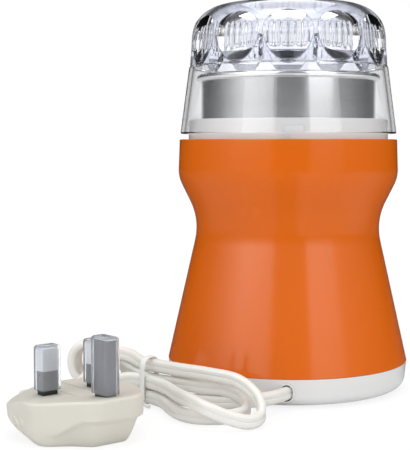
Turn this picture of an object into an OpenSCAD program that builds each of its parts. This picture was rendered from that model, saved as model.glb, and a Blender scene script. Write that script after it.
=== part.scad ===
// Electric coffee grinder with a press-down clear lid, a hanked flat mains lead and a three-pin plug.
// Millimetres, +Z up. The origin is on the table under the middle of the base, the cord outlet faces -Y.

/* [Base cover] */
// Radius of the base cover at the seam with the shell
base_r = 54.6; // [52:0.2:58]
// Height of the seam above the table
base_h = 12.8; // [11:0.2:16]
// Radius of the rounded lower edge of the base cover
base_fillet = 5; // [3:0.5:8]
// How far the base cover leans in from seam to table
base_lean = 1.2; // [0:0.1:3]
// Wall thickness of the base cover
base_wall = 2.2; // [1.6:0.1:3]
// Height of the lip that locates the shell
lip_h = 3; // [1.5:0.25:5]
// Radius of a rubber foot
foot_r = 5; // [3:0.25:7]
// How far a foot stands below the base cover
foot_h = 1; // [0.6:0.1:2]
// Distance of the feet from the axis
foot_ring = 39; // [34:0.5:41]

/* [Body shell] */
// Height of the coloured shell
shell_h = 99.8; // [94:0.2:112]
// Wall thickness of the shell
shell_wall = 2; // [1.4:0.1:2.4]
// Radius at the neck of the hourglass
waist_r = 41.8; // [40.6:0.2:45]
// Height of the neck above the seam
waist_h = 63.2; // [58:0.2:66]
// Radius of the round in the neck
waist_round = 27; // [16:0.5:30]
// Height of the shoulder above the seam
shoulder_h = 82.8; // [80:0.2:86]
// Radius of the round at the shoulder
shoulder_round = 15; // [6:0.5:18]
// How far the shoulder stands out past the top edge
shoulder_bulge = 0.6; // [0:0.1:1.2]

/* [Collar frame] */
// Outer radius of the white collar
collar_r = 45.2; // [44.4:0.1:47]
// Wall of the collar round the cup
collar_wall = 5.3; // [4.6:0.1:6]
// Height of the collar above the shell
collar_h = 8.8; // [5:0.2:14]
// Depth of the deck below the collar flange
well_depth = 7; // [6:0.25:9]
// Thickness of the deck that carries cup and motor
deck_t = 2.5; // [2:0.1:3]
// Wall of the well under the flange
well_wall = 2.6; // [1.6:0.1:2.8]
// Radius of the long screw posts
post_r = 3.2; // [2.6:0.1:3.6]
// Angle of the posts from the X axis
post_angle = 48; // [46:1:54]

/* [Grinding cup] */
// Height of the cup from its floor to its rim
cup_h = 38.5; // [32:0.5:46]
// Sheet thickness of the cup
cup_wall = 0.8; // [0.5:0.1:1.2]
// Radius of the round between cup floor and wall
cup_round = 8; // [3:0.5:12]
// Radius of the rolled rim bead
bead_r = 1.5; // [0.8:0.1:1.8]
// Radius swept by the blade
blade_r = 30; // [22:0.5:33]
// Thickness of the blade
blade_t = 1.5; // [0.8:0.1:2]

/* [Lid] */
// Height of the lid
lid_h = 58.8; // [54:0.2:66]
// Gap between the lid's edge and the shell at rest
lid_gap = 2.6; // [2.4:0.1:4]
// Wall of the lid skirt
lid_wall = 2; // [1.4:0.1:2.4]
// Height of the plain skirt under the thumb facets
skirt_h = 30; // [28.5:0.5:33]
// How far the skirt draws in from edge to step
skirt_draw = 3.9; // [2:0.1:4.4]
// Radius of the round at the top edge of the lid
lid_round = 16; // [12:0.5:18]
// Extra wall behind the thumb facets
facet_wall = 2.4; // [2:0.1:4]
// Number of thumb facets round the lid
facet_count = 12; // [8:1:16]
// How far a thumb facet leans in from foot to top
facet_lean = 5.5; // [4:0.1:6]
// Height of a thumb facet
facet_h = 22.4; // [18:0.2:24]
// Width of the tongue that works the switch
tongue_w = 3; // [2:0.1:4]
// Thickness of the tongue
tongue_t = 1.3; // [1:0.1:1.5]
// Travel of the lid when it is pressed down
press_travel = 2.2; // [1:0.1:2.3]

/* [Motor] */
// Width of the stator core
core_w = 50; // [46:0.5:52]
// Depth of the stator core
core_d = 42; // [38:0.5:43]
// Stack height of the stator core
core_h = 24; // [18:0.5:30]
// Bore of the stator core
core_bore_r = 15; // [14.4:0.1:15.6]
// Air gap between armature and stator
air_gap = 0.5; // [0.3:0.05:0.8]
// Radius of the motor shaft
shaft_r = 3; // [2:0.1:3.4]
// Radius of the commutator
commutator_r = 9; // [7:0.25:9.5]
// Radius of the cooling fan
fan_r = 18; // [14:0.5:19.5]
// Number of fan blades
fan_blades = 9; // [5:1:12]
// Height of the rubber mounts between motor and deck
mount_h = 6.5; // [6:0.25:9]
// Thickness of the motor brackets
bracket_t = 3; // [2:0.25:4]

/* [Cord and plug] */
// Width of the flat mains lead
cord_w = 5.8; // [5:0.1:5.9]
// Thickness of the flat mains lead
cord_t = 3.4; // [2.8:0.1:3.6]
// Height of the cord outlet above the table
outlet_z = 7; // [6.5:0.1:8]
// Height of the plug lying on its back
plug_h = 16; // [14:0.25:20]
// Half width of the plug
plug_half_w = 25; // [23:0.25:27]
// Length of the earth pin
earth_pin_l = 22.7; // [20:0.1:24]
// Length of the live and neutral pins
line_pin_l = 17.7; // [15:0.1:19]
// Wall of the pin caps
cap_wall = 0.9; // [0.6:0.05:1.2]

/* [Hidden] */
$fn = 64;

// Gap beside faces that move past each other, gap round a screw, gap round a turning shaft
side_gap = 0.4;
screw_fit = 0.05;
run_fit = 0.05;

// Heights of the stacked pieces, from the table up
seam_z = base_h;
shell_top = seam_z + shell_h;
flange_t = 2;
flange_drop = 1.6;
flange_z = shell_top - flange_drop - flange_t;
ledge_t = 2;
collar_top = shell_top + collar_h;
deck_top = flange_z - well_depth;
deck_z = deck_top - deck_t;
gasket_t = 1;
cup_z = deck_top + gasket_t;
rim_top = cup_z + cup_h;
lid_z = shell_top + lid_gap;
lid_top = lid_z + lid_h;
step_z = lid_z + skirt_h;

// Radii of the nested rings at the top of the body
ring_gap = tongue_t + 2 * side_gap;
shell_top_r = collar_r + ring_gap + shell_wall;
shoulder_r = shell_top_r + shoulder_bulge;
well_r = collar_r - collar_wall;
cup_r = well_r - side_gap;
well_out_r = well_r + well_wall;
flange_r = shell_top_r - shell_wall - side_gap;
ledge_bite = 1.2;
ledge_r = flange_r - ledge_bite;
lid_inset = 0.4;
lid_r = shell_top_r - lid_inset;

// The neck's corner lies inside its round by the sagitta of that round
function lower_slope(r) = atan((base_r - r) / waist_h);
function upper_slope(r) = atan((shoulder_r - r) / (shoulder_h - waist_h));
function neck_turn(r) = (lower_slope(r) + upper_slope(r)) / 2;
function neck_sag(r) = waist_round * (1 / cos(neck_turn(r)) - 1);
neck_corner_r = waist_r - neck_sag(waist_r - neck_sag(waist_r));
shell_lean = (base_r - neck_corner_r) / waist_h;

// Profile corners as [radius, height, round]
shell_path = [
    [base_r, seam_z, 0],
    [neck_corner_r, seam_z + waist_h, waist_round],
    [shoulder_r, seam_z + shoulder_h, shoulder_round],
    [shell_top_r, shell_top, 0]
];
floor_top = foot_h + base_wall;
base_path = [[base_r, seam_z, 0], [base_r - base_lean, foot_h, base_fillet], [0, foot_h, 0]];
base_inside = [
    [0, floor_top, 0],
    [base_r - base_lean - base_wall, floor_top, base_fillet - base_wall],
    [base_r - base_wall, seam_z, 0]
];
crown_drop = 1;
lid_step = 0.5;
top_round_r = lid_r - skirt_draw - lid_step;
lid_path = [
    [lid_r, lid_z, 0],
    [lid_r - skirt_draw, step_z, 0],
    [top_round_r, step_z, 0],
    [top_round_r - lid_step, lid_top - crown_drop, lid_round],
    [0, lid_top, 0]
];
lid_roof = 3.4;
lid_inside = [
    [0, lid_top - lid_roof, 0],
    [top_round_r - lid_wall - facet_wall, lid_top - lid_roof, lid_round - lid_wall],
    [top_round_r - lid_wall - facet_wall, step_z, 0],
    [lid_r - skirt_draw - lid_wall, step_z, 0],
    [lid_r - lid_wall, lid_z, 0]
];

// Screw posts that tie deck, motor and base together
post_gap = 0.9;
post_ring = waist_r - shell_wall - post_gap - post_r;
post_x = post_ring * cos(post_angle);
post_y = post_ring * sin(post_angle);
post_spots = [for (sx = [-1, 1], sy = [-1, 1]) [sx * post_x, sy * post_y]];
boss_rise = 1.6;
boss_top = seam_z + boss_rise;
boss_r = post_r + 1;
screw_r = 1.5;
screw_head_r = 2.8;
screw_head_h = 2.2;
screw_bite = 14;
screw_seat_z = floor_top + 4;

// Unit vector and point helpers
function unit(v) = v / norm(v);
function lerp(a, b, s) = a + (b - a) * s;
function smooth(s) = let (t = max(0, min(1, s))) t * t * (3 - 2 * t);

// Points of the arc that rounds corner b between a and c
function round_corner(a, b, c, r) =
    let (
        u = unit(a - b), v = unit(c - b), half = acos(u * v) / 2,
        centre = b + unit(u + v) * r / sin(half),
        p = unit(b + u * r / tan(half) - centre), q = unit(b + v * r / tan(half) - centre),
        turn = acos(p * q), steps = max(2, ceil(turn / 9))
    )
    [
        for (k = [0 : steps])
            let (s = k / steps)
            centre + r * (p * sin(turn * (1 - s)) + q * sin(turn * s)) / sin(turn)
    ];

// A profile whose corners carry their own rounds
function rounded(path) = [
    for (i = [0 : len(path) - 1])
        let (p = [path[i].x, path[i].y])
        each i == 0 || i == len(path) - 1 || path[i][2] == 0 ? [p]
            : round_corner([path[i - 1].x, path[i - 1].y], p, [path[i + 1].x, path[i + 1].y], path[i][2])
];
function shell_r_at(z) = lookup(z, [for (p = rounded(shell_path)) [p.y, p.x]]);
function shifted(path, d) = [for (p = path) [p.x - d, p.y, p[2]]];
function reversed(list) = [for (i = [len(list) - 1 : -1 : 0]) list[i]];

// A plain turned ring between two radii and two heights
module ring(r_in, r_out, z0, z1) {
    translate([0, 0, z0])
        difference() {
            cylinder(r = r_out, h = z1 - z0);
            if (r_in > 0)
                translate([0, 0, -1])
                    cylinder(r = r_in, h = z1 - z0 + 2);
        }
}

// A box given by its lowest and highest corners
module block(low, high) {
    translate(low)
        cube(high - low);
}

// A machine screw with its head down, standing on z = 0 with the shank up
module screw(length, r = screw_r, head_r = screw_head_r, head_h = screw_head_h) {
    difference() {
        union() {
            translate([0, 0, -head_h])
                cylinder(r = head_r, h = head_h);
            cylinder(r = r, h = length);
        }
        translate([-head_r, -0.4, -head_h - 1])
            cube([2 * head_r, 0.8, 1.8]);
    }
}

// An upright oval prism along -Y, used for the cord outlet
module oval_prism(w, h, length) {
    rotate([90, 0, 0])
        linear_extrude(length) {
            square([w, h - w], center = true);
            for (s = [-1, 1])
                translate([0, s * (h - w) / 2])
                    circle(d = w);
        }
}

// Cord outlet in the base
outlet_w = cord_t + 1.8;
outlet_h = cord_w + 1.3;
gland_wall = 1;
gland_y = -(base_r - base_lean - base_wall - 1.4);
outlet_inset = 1.1;
outlet_y = outlet_inset - base_r;
outlet_run = 14;

module base_solid() {
    rotate_extrude()
        polygon(rounded(concat(base_path, [[0, seam_z, 0]])));
}

module base_cover() {
    lip_out = base_r - shell_wall - side_gap - shell_lean * lip_h;
    lip_wall = 1.6;
    color("whitesmoke")
        difference() {
            union() {
                rotate_extrude()
                    polygon(concat(rounded(base_path), rounded(base_inside)));
                ring(lip_out - lip_wall, lip_out, seam_z - 1.5, seam_z + lip_h);
                ring(lip_out - lip_wall, base_r - base_wall / 2, seam_z - 1.5, seam_z);
                for (p = post_spots)
                    translate([p.x, p.y, foot_h])
                        cylinder(r = boss_r, h = boss_top - foot_h);
                intersection() {
                    base_solid();
                    translate([0, gland_y, outlet_z])
                        oval_prism(outlet_w + 2 * gland_wall + 3, outlet_h + 2 * gland_wall + 1.6, 4);
                }
                clamp_base();
            }
            for (p = post_spots)
                translate([p.x, p.y, 0]) {
                    cylinder(r = screw_r + screw_fit, h = boss_top + 1);
                    cylinder(r = screw_head_r + side_gap, h = screw_seat_z);
                }
            for (p = foot_spots)
                translate([p.x, p.y, 0])
                    cylinder(r = foot_r, h = foot_h + foot_sink);
            translate([0, gland_y + 5, outlet_z])
                oval_prism(outlet_w + 2 * gland_wall, outlet_h + 2 * gland_wall, outlet_run);
            clamp_holes();
        }
}

// Rubber feet in round pockets under the base
foot_sink = 1;
foot_spots = [[foot_ring, 0], [0, foot_ring], [-foot_ring, 0], [0, -foot_ring]];

module feet() {
    color("dimgray")
        for (p = foot_spots)
            translate([p.x, p.y, 0])
                cylinder(r = foot_r - screw_fit, h = foot_h + foot_sink);
}

module base_screws() {
    color("silver")
        for (p = post_spots)
            translate([p.x, p.y, screw_seat_z])
                screw(boss_top + screw_bite - screw_seat_z);
}

// Slot in flange and ledge through which the lid tongue reaches the plunger
tongue_in_r = collar_r + side_gap;
tongue_out_r = tongue_in_r + tongue_t;
slot_w = tongue_w + 3;

module tongue_slot(z0, z1, in_r, out_r) {
    block([-slot_w / 2, -out_r, z0], [slot_w / 2, -in_r, z1]);
}

module body_shell() {
    color("darkorange")
        difference() {
            union() {
                rotate_extrude()
                    polygon(concat(
                        rounded(shell_path),
                        reversed(rounded(shifted(shell_path, shell_wall)))
                    ));
                ring(ledge_r, shell_top_r - shell_wall / 2, flange_z - ledge_t, flange_z);
            }
            tongue_slot(flange_z - ledge_t - 1, flange_z + 1, ledge_r - 1, shell_top_r - shell_wall);
        }
}

module collar_frame() {
    collar_edge = 0.8;
    color("whitesmoke")
        difference() {
            union() {
                rotate_extrude()
                    polygon(rounded([
                        [hub_r + screw_fit, deck_z, 0],
                        [well_out_r, deck_z, 0],
                        [well_out_r, flange_z, 0],
                        [flange_r, flange_z, 0],
                        [flange_r, flange_z + flange_t, 0],
                        [collar_r, flange_z + flange_t, 0],
                        [collar_r, collar_top, collar_edge],
                        [well_r, collar_top, 0],
                        [well_r, deck_top, 0],
                        [hub_r + screw_fit, deck_top, 0]
                    ]));
                for (p = post_spots)
                    translate([p.x, p.y, boss_top])
                        cylinder(r = post_r, h = deck_z - boss_top + 0.5);
            }
            for (p = post_spots)
                translate([p.x, p.y, boss_top - 1])
                    cylinder(r = screw_r + screw_fit, h = screw_bite + 3);
            for (p = mount_spots)
                translate([p.x, p.y, deck_z - 1])
                    cylinder(r = screw_r + screw_fit, h = deck_t + 2);
            tongue_slot(flange_z - 1, flange_z + flange_t + 1, collar_r, flange_r + 1);
            translate([0, -pin_y, deck_z - 1])
                cylinder(r = pin_r + screw_fit, h = deck_t + 2);
            for (s = [-1, 1])
                translate([s * switch_screw_x, -switch_plate_y, deck_z - 1])
                    cylinder(r = small_screw_r + screw_fit, h = deck_t + 2);
        }
}

// Central hub that clamps the cup to the deck and carries the shaft seal
hub_r = 7;
hub_flange_r = 10;
hub_flange_t = 1.6;
hub_nut_h = 3;
hub_below = hub_nut_h + 0.6;
hub_bore_r = shaft_r + 2.2;
hub_floor_t = 1.2;

module grinding_cup() {
    bead_z = rim_top - bead_r;
    color("silver")
        difference() {
            rotate_extrude() {
                polygon(concat(
                    rounded([[hub_r + screw_fit, cup_z, 0], [cup_r, cup_z, cup_round], [cup_r, bead_z, 0]]),
                    reversed(rounded([
                        [hub_r + screw_fit, cup_z + cup_wall, 0],
                        [cup_r - cup_wall, cup_z + cup_wall, cup_round - cup_wall],
                        [cup_r - cup_wall, bead_z, 0]
                    ]))
                ));
                translate([cup_r - cup_wall + bead_r, bead_z])
                    circle(r = bead_r, $fn = 24);
            }
            ring(0, hub_r + screw_fit, cup_z - 1, cup_z + 1 + cup_wall);
        }
}

module cup_gasket() {
    color("gray")
        ring(hub_r + 2, cup_r - cup_round, deck_top, deck_top + gasket_t);
}

module hub_bush() {
    top = cup_z + cup_wall;
    color("black")
        difference() {
            union() {
                ring(0, hub_r, deck_z - hub_below, top + 0.5);
                ring(0, hub_flange_r, top, top + hub_flange_t);
            }
            ring(0, hub_bore_r, deck_z - hub_below + hub_floor_t, top + hub_flange_t + 1);
            ring(0, shaft_r + 0.6, deck_z - hub_below - 1, top);
        }
}

module hub_nut() {
    color("black")
        translate([0, 0, deck_z - hub_nut_h])
            difference() {
                cylinder(r = hub_r + 3, h = hub_nut_h, $fn = 6);
                translate([0, 0, -1])
                    cylinder(r = hub_r + screw_fit, h = hub_nut_h + 2);
            }
}

module shaft_seal() {
    color("darkred")
        ring(shaft_r + run_fit, hub_bore_r - screw_fit, deck_z - hub_below + hub_floor_t, deck_z + 3);
}

// Thumb facets are hollow cuts by a leaning drum, which ends in the round of the lid's top edge
facet_curve = 50;
facet_lift = 0.6;
facet_share = 180 / facet_count - 0.2;
facet_near = top_round_r - 2 * facet_lean;
lug_w = 8.2;
lug_h = 3;
lug_past = 0.4;

module facet_scoop() {
    foot_z = step_z + facet_lift;
    intersection() {
        translate([top_round_r, 0, foot_z])
            rotate([0, -atan(facet_lean / facet_h), 0])
                translate([facet_curve, 0, -facet_h])
                    cylinder(r = facet_curve, h = 3 * facet_h);
        translate([0, 0, foot_z])
            linear_extrude(facet_h + 3)
                polygon([
                    [facet_near, -facet_near * tan(facet_share)],
                    [lid_r, -lid_r * tan(facet_share)],
                    [lid_r, lid_r * tan(facet_share)],
                    [facet_near, facet_near * tan(facet_share)]
                ]);
    }
}

module lid() {
    color("lightcyan", 0.4)
        union() {
            difference() {
                rotate_extrude()
                    polygon(concat(rounded(lid_path), rounded(lid_inside)));
                for (i = [0 : facet_count - 1])
                    rotate([0, 0, -90 + i * 360 / facet_count])
                        facet_scoop();
            }
            block(
                [-tongue_w / 2 - lug_past, -lid_r + lid_wall / 2, lid_z],
                [lug_w - tongue_w / 2, -tongue_in_r, lid_z + lug_h]
            );
            block([-tongue_w / 2, -tongue_out_r, head_top], [tongue_w / 2, -tongue_in_r, lid_z + lug_h]);
        }
}

// Motor heights, hung from the deck
up_plate_top = deck_z - mount_h;
up_plate_z = up_plate_top - bracket_t;
up_leg = 24;
core_top = up_plate_z - up_leg;
core_z = core_top - core_h;
low_leg = 22;
low_plate_top = core_z - low_leg;
low_plate_z = low_plate_top - bracket_t;
leg_t = 4;
leg_half_d = 7;
plate_half_d = 11;
bush_r = 6;
bush_out = 2;
bolt_x = core_w / 2 - leg_t / 2;
mount_r = 4;
mount_spots = [for (sx = [-1, 1], sy = [-1, 1]) [sx * 15, sy * 7]];
mount_head_r = 2.4;

module bolt_holes(z0, z1) {
    for (s = [-1, 1])
        translate([s * bolt_x, 0, z0])
            cylinder(r = screw_r + screw_fit, h = z1 - z0);
}

module bracket_legs(z0, z1) {
    for (s = [-1, 1])
        translate([s * bolt_x, 0, (z0 + z1) / 2])
            cube([leg_t, 2 * leg_half_d, z1 - z0], center = true);
}

module upper_bracket() {
    color("lightsteelblue")
        difference() {
            union() {
                block([-core_w / 2, -plate_half_d, up_plate_z], [core_w / 2, plate_half_d, up_plate_top]);
                bracket_legs(core_top, up_plate_z + 1);
            }
            ring(0, bush_r + screw_fit, up_plate_z - 1, up_plate_top + 1);
            bolt_holes(core_top - 1, up_plate_top + 1);
            for (p = mount_spots)
                translate([p.x, p.y, up_plate_z - 1])
                    cylinder(r = screw_r + screw_fit, h = bracket_t + 2);
        }
}

module lower_bracket() {
    color("lightsteelblue")
        difference() {
            union() {
                block([-core_w / 2, -plate_half_d, low_plate_z], [core_w / 2, plate_half_d, low_plate_top]);
                block(
                    [-leg_half_d, -holder_end - 1, low_plate_z],
                    [leg_half_d, holder_end + 1, low_plate_top]
                );
                bracket_legs(low_plate_top - 1, core_z);
            }
            ring(0, bush_r + screw_fit, low_plate_z - 1, low_plate_top + 1);
            bolt_holes(low_plate_z - 1, core_z + 1);
        }
}

module upper_bush() {
    color("peru")
        ring(shaft_r + run_fit, bush_r, up_plate_z - bush_out, up_plate_top + bush_out);
}

module lower_bush() {
    color("peru")
        ring(shaft_r + run_fit, bush_r, low_plate_z - bush_out, low_plate_top + bush_out);
}

module rubber_mounts() {
    color("dimgray")
        for (p = mount_spots)
            translate([p.x, p.y, 0])
                ring(screw_r + screw_fit, mount_r, up_plate_top, deck_z);
}

module mount_screws() {
    color("silver")
        for (p = mount_spots)
            translate([p.x, p.y, up_plate_z])
                screw(bracket_t + mount_h + deck_t - 0.5, head_r = mount_head_r);
}

// Stator poles stand on the X sides, and each coil passes through two slots beside its pole
coil_in_x = core_bore_r - 1;
coil_out_x = core_w / 2 - leg_t - 1;
coil_in_y = 9;
coil_out_y = 14;
coil_end = 8;
coil_slack = 0.2;
coil_mid = [(coil_in_x + coil_out_x) / 2, (coil_in_y + coil_out_y) / 2];
coil_size = [coil_out_x - coil_in_x, coil_out_y - coil_in_y];

module stator_core() {
    color("slategray")
        difference() {
            block([-core_w / 2, -core_d / 2, core_z], [core_w / 2, core_d / 2, core_top]);
            ring(0, core_bore_r, core_z - 1, core_top + 1);
            for (sx = [-1, 1], sy = [-1, 1])
                translate([sx * coil_mid.x, sy * coil_mid.y, core_z + core_h / 2])
                    cube([coil_size.x + coil_slack, coil_size.y + coil_slack, core_h + 2], center = true);
            bolt_holes(core_z - 1, core_top + 1);
        }
}

module field_coils() {
    color("chocolate")
        for (s = [0, 180])
            rotate([0, 0, s])
                difference() {
                    block(
                        [coil_in_x, -coil_out_y, core_z - coil_end],
                        [coil_out_x, coil_out_y, core_top + coil_end]
                    );
                    block([0, -coil_in_y, core_z - screw_fit], [core_w, coil_in_y, core_top + screw_fit]);
                }
}

module motor_bolts() {
    color("silver")
        for (s = [-1, 1])
            translate([s * bolt_x, 0, low_plate_z])
                screw(up_plate_top + bolt_nut_h + 0.6 - low_plate_z);
}

bolt_nut_h = 2.4;

module motor_nuts() {
    color("silver")
        for (s = [-1, 1])
            translate([s * bolt_x, 0, up_plate_top])
                difference() {
                    cylinder(r = 2 * screw_r, h = bolt_nut_h, $fn = 6);
                    translate([0, 0, -1])
                        cylinder(r = screw_r + screw_fit, h = bolt_nut_h + 2);
                }
}

// Brush gear on the lower bracket, one holder each side of the commutator
brush_w = 5;
brush_l = 8;
holder_start = commutator_r + 3;
holder_reach = 16;
holder_end = commutator_r + holder_reach;
holder_wall = 1.6;
holder_half = brush_w / 2 + screw_fit + holder_wall;
commutator_z = low_plate_top + 5;
commutator_top = core_z - 8;
brush_z = (commutator_z + commutator_top) / 2;
brush_gap = 0.1;
brush_back = commutator_r + brush_gap + brush_l;
spring_back = holder_end - holder_wall;

module each_brush() {
    for (turn = [0, 180])
        rotate([0, 0, turn])
            children();
}

module brush_holders() {
    slot = brush_w / 2 + screw_fit;
    color("saddlebrown")
        each_brush()
            difference() {
                block(
                    [-holder_half, holder_start, low_plate_top],
                    [holder_half, holder_end, brush_z + holder_half]
                );
                block([-slot, holder_start - 1, brush_z - slot], [slot, spring_back, brush_z + slot]);
            }
}

module carbon_brushes() {
    color("black")
        each_brush()
            difference() {
                block(
                    [-brush_w / 2, commutator_r - 1, brush_z - brush_w / 2],
                    [brush_w / 2, brush_back, brush_z + brush_w / 2]
                );
                ring(0, commutator_r + brush_gap, brush_z - brush_w, brush_z + brush_w);
            }
}

module brush_springs() {
    color("silver")
        each_brush()
            translate([0, brush_back, brush_z])
                rotate([-90, 0, 0])
                    coil_spring(1.7, 0.3, 5, spring_back - brush_back);
}

// Pieces that turn with the shaft
blade_lift = 5.5;
blade_z = cup_z + blade_lift;
nut_h = 3;
blade_washer_t = 1;
shaft_z = low_plate_z - bush_out - 1;
shaft_top = blade_z + blade_t + blade_washer_t + nut_h;
blade_seat_h = 1;
wind_r = core_bore_r - 3;
wind_h = 7;

module motor_shaft() {
    color("silver")
        union() {
            ring(0, shaft_r, shaft_z, shaft_top);
            ring(0, shaft_r + 1.2, blade_z - blade_seat_h, blade_z);
        }
}

module armature_core() {
    armature_r = core_bore_r - air_gap;
    slots = 10;
    color("gray")
        difference() {
            ring(shaft_r + screw_fit, armature_r, core_z, core_top);
            for (i = [0 : slots - 1])
                rotate([0, 0, i * 360 / slots])
                    translate([armature_r - 1, 0, core_z - 1])
                        cylinder(r = 1.4, h = core_h + 2);
        }
}

module armature_windings() {
    color("chocolate")
        for (z = [core_top, core_z - wind_h])
            translate([0, 0, z])
                rotate_extrude()
                    polygon(rounded([
                        [shaft_r + screw_fit, 0, 0],
                        [wind_r, 0, 1.5],
                        [wind_r, wind_h, 2.5],
                        [shaft_r + screw_fit, wind_h, 0]
                    ]));
}

module commutator() {
    bars = 20;
    color("goldenrod")
        difference() {
            ring(shaft_r + screw_fit, commutator_r, commutator_z, commutator_top);
            for (i = [0 : bars - 1])
                rotate([0, 0, (i + 0.5) * 360 / bars])
                    block(
                        [commutator_r - 0.8, -0.25, commutator_z - 1],
                        [commutator_r + 1, 0.25, commutator_top + 1]
                    );
        }
}

module cooling_fan() {
    fan_z = core_top + coil_end + 1.5;
    disc_t = 1.5;
    hub = 8;
    blade_h = 7;
    color("ivory")
        difference() {
            union() {
                ring(0, fan_r, fan_z, fan_z + disc_t);
                ring(0, hub, fan_z, fan_z + disc_t + blade_h);
                for (i = [0 : fan_blades - 1])
                    rotate([0, 0, i * 360 / fan_blades])
                        block([hub - 1, -0.6, fan_z], [fan_r - 0.5, 0.6, fan_z + disc_t + blade_h]);
            }
            ring(0, shaft_r + screw_fit, fan_z - 1, fan_z + disc_t + blade_h + 1);
        }
}

module blade() {
    hub = shaft_r + 3.4;
    root_w = 8;
    tip_w = 6;
    wing_tilt = 14;
    color("lightgray")
        translate([0, 0, blade_z])
            difference() {
                union() {
                    cylinder(r = hub, h = blade_t);
                    for (turn = [0, 180])
                        rotate([0, 0, turn]) {
                            linear_extrude(blade_t)
                                polygon([
                                    [0, -root_w / 2],
                                    [blade_r / 2, -root_w / 2],
                                    [blade_r / 2, root_w / 2],
                                    [0, root_w / 2]
                                ]);
                            translate([blade_r / 2 - 1, 0, blade_t / 2])
                                rotate([wing_tilt, 0, 0])
                                    translate([0, 0, -blade_t / 2])
                                        linear_extrude(blade_t)
                                            polygon([
                                                [0, -root_w / 2],
                                                [blade_r / 2, -tip_w / 2 + 1],
                                                [blade_r / 2, tip_w / 2],
                                                [0, root_w / 2]
                                            ]);
                        }
                }
                translate([0, 0, -1])
                    cylinder(r = shaft_r + screw_fit, h = blade_t + 2);
            }
}

module blade_washer() {
    color("silver")
        ring(shaft_r + screw_fit, shaft_r + 3, blade_z + blade_t, blade_z + blade_t + blade_washer_t);
}

module blade_nut() {
    z = blade_z + blade_t + blade_washer_t;
    color("silver")
        difference() {
            translate([0, 0, z])
                cylinder(r = shaft_r + 2.4, h = nut_h, $fn = 6);
            ring(0, shaft_r + screw_fit, z - 1, z + nut_h + 1);
        }
}

// Press switch: the tongue pushes the plunger, whose foot works the microswitch
head_top = flange_z - 1.4;
head_h = 3;
plunger_w = 4.6;
plunger_in_y = well_out_r + 0.8;
blade_out_y = plunger_in_y + 2.1;
arm_top = deck_z - 1;
arm_t = 2.5;
arm_z = arm_top - arm_t;
pin_r = 1.5;
clip_drop = 14;
clip_top = deck_z - clip_drop;
clip_t = 1;
clip_r = 3.4;
clip_gap = 1.04024;
pin_gap = 2;
shell_room_y = shell_r_at(clip_top - clip_t) - shell_wall - clip_gap - clip_r;
plunger_room_y = plunger_in_y - pin_gap - pin_r;
pin_y = min(shell_room_y, plunger_room_y);
foot_inset = 8.2;
foot_y = pin_y - foot_inset;
plunger_foot_r = 1.6;
switch_drop = 12;
switch_top = deck_z - switch_drop;
switch_h = 10;
switch_half_w = 10;
switch_back = 3.3;
switch_back_y = foot_y - switch_back;
switch_t = 6.5;
button_rise = 3;
button_gap = 0.4;
button_half_w = 1.4;
button_half_d = 1.5;
button_sink = 1.2;
slot_depth = 4;
spring_r = 2.5;
spring_wire_r = 0.35;
small_screw_r = 1.2;
switch_plate_t = 1.5;
switch_plate_in = 6.5;
switch_plate_y = switch_back_y - switch_plate_in;
switch_plate_past = 4;
switch_screw_x = 6;
switch_hole_x = 4.75;
switch_hole_z = switch_top - 6.5;

module switch_plunger() {
    color("lightgray")
        difference() {
            union() {
                block(
                    [-plunger_w / 2, -tongue_out_r, head_top - head_h],
                    [plunger_w / 2, -plunger_in_y, head_top]
                );
                block([-plunger_w / 2, -blade_out_y, arm_z], [plunger_w / 2, -plunger_in_y, head_top - 1]);
                block([-plunger_w / 2, -blade_out_y, arm_z], [plunger_w / 2, -foot_y + 2, arm_top]);
                translate([0, -foot_y, switch_top + button_rise + button_gap])
                    cylinder(r = plunger_foot_r, h = arm_top - switch_top - button_rise - button_gap);
            }
            translate([0, -pin_y, arm_z - 1])
                cylinder(r = pin_r + run_fit, h = arm_t + 2);
        }
}

module guide_pin() {
    color("silver")
        translate([0, -pin_y, clip_top - clip_t - 1])
            cylinder(r = pin_r, h = deck_top - clip_top + clip_t + 1);
}

module spring_clip() {
    color("gray")
        translate([0, -pin_y, 0])
            ring(pin_r + screw_fit, clip_r, clip_top - clip_t, clip_top);
}

module plunger_spring() {
    color("silver")
        translate([0, -pin_y, clip_top])
            coil_spring(spring_r, spring_wire_r, 6, arm_z - clip_top);
}

module switch_bracket() {
    color("lightsteelblue")
        difference() {
            union() {
                block(
                    [-switch_half_w, -switch_back_y, switch_top - switch_h],
                    [switch_half_w, -switch_back_y + switch_plate_t, deck_z]
                );
                block(
                    [-switch_half_w, -switch_back_y, deck_z - switch_plate_t],
                    [switch_half_w, -switch_plate_y + switch_plate_past, deck_z]
                );
            }
            for (s = [-1, 1]) {
                translate([s * switch_screw_x, -switch_plate_y, deck_z - 5])
                    cylinder(r = small_screw_r + screw_fit, h = 10);
                translate([s * switch_hole_x, 0, switch_hole_z])
                    rotate([90, 0, 0])
                        cylinder(r = small_screw_r + screw_fit, h = 2 * switch_back_y);
            }
        }
}

module microswitch() {
    color("dimgray")
        difference() {
            block(
                [-switch_half_w, -switch_back_y - switch_t, switch_top - switch_h],
                [switch_half_w, -switch_back_y, switch_top]
            );
            block(
                [-button_half_w - 0.2, -foot_y - button_half_d - 0.2, switch_top - slot_depth],
                [button_half_w + 0.2, -foot_y + button_half_d + 0.2, switch_top + 1]
            );
            for (s = [-1, 1])
                translate([s * switch_hole_x, 0, switch_hole_z])
                    rotate([90, 0, 0])
                        cylinder(r = small_screw_r + screw_fit, h = 2 * switch_back_y);
        }
}

module switch_button() {
    color("red")
        block(
            [-button_half_w, -foot_y - button_half_d, switch_top - button_sink],
            [button_half_w, -foot_y + button_half_d, switch_top + button_rise]
        );
}

terminal_x = 6;
terminal_l = 6.5;
terminal_z = switch_top - switch_h - terminal_l;

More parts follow.
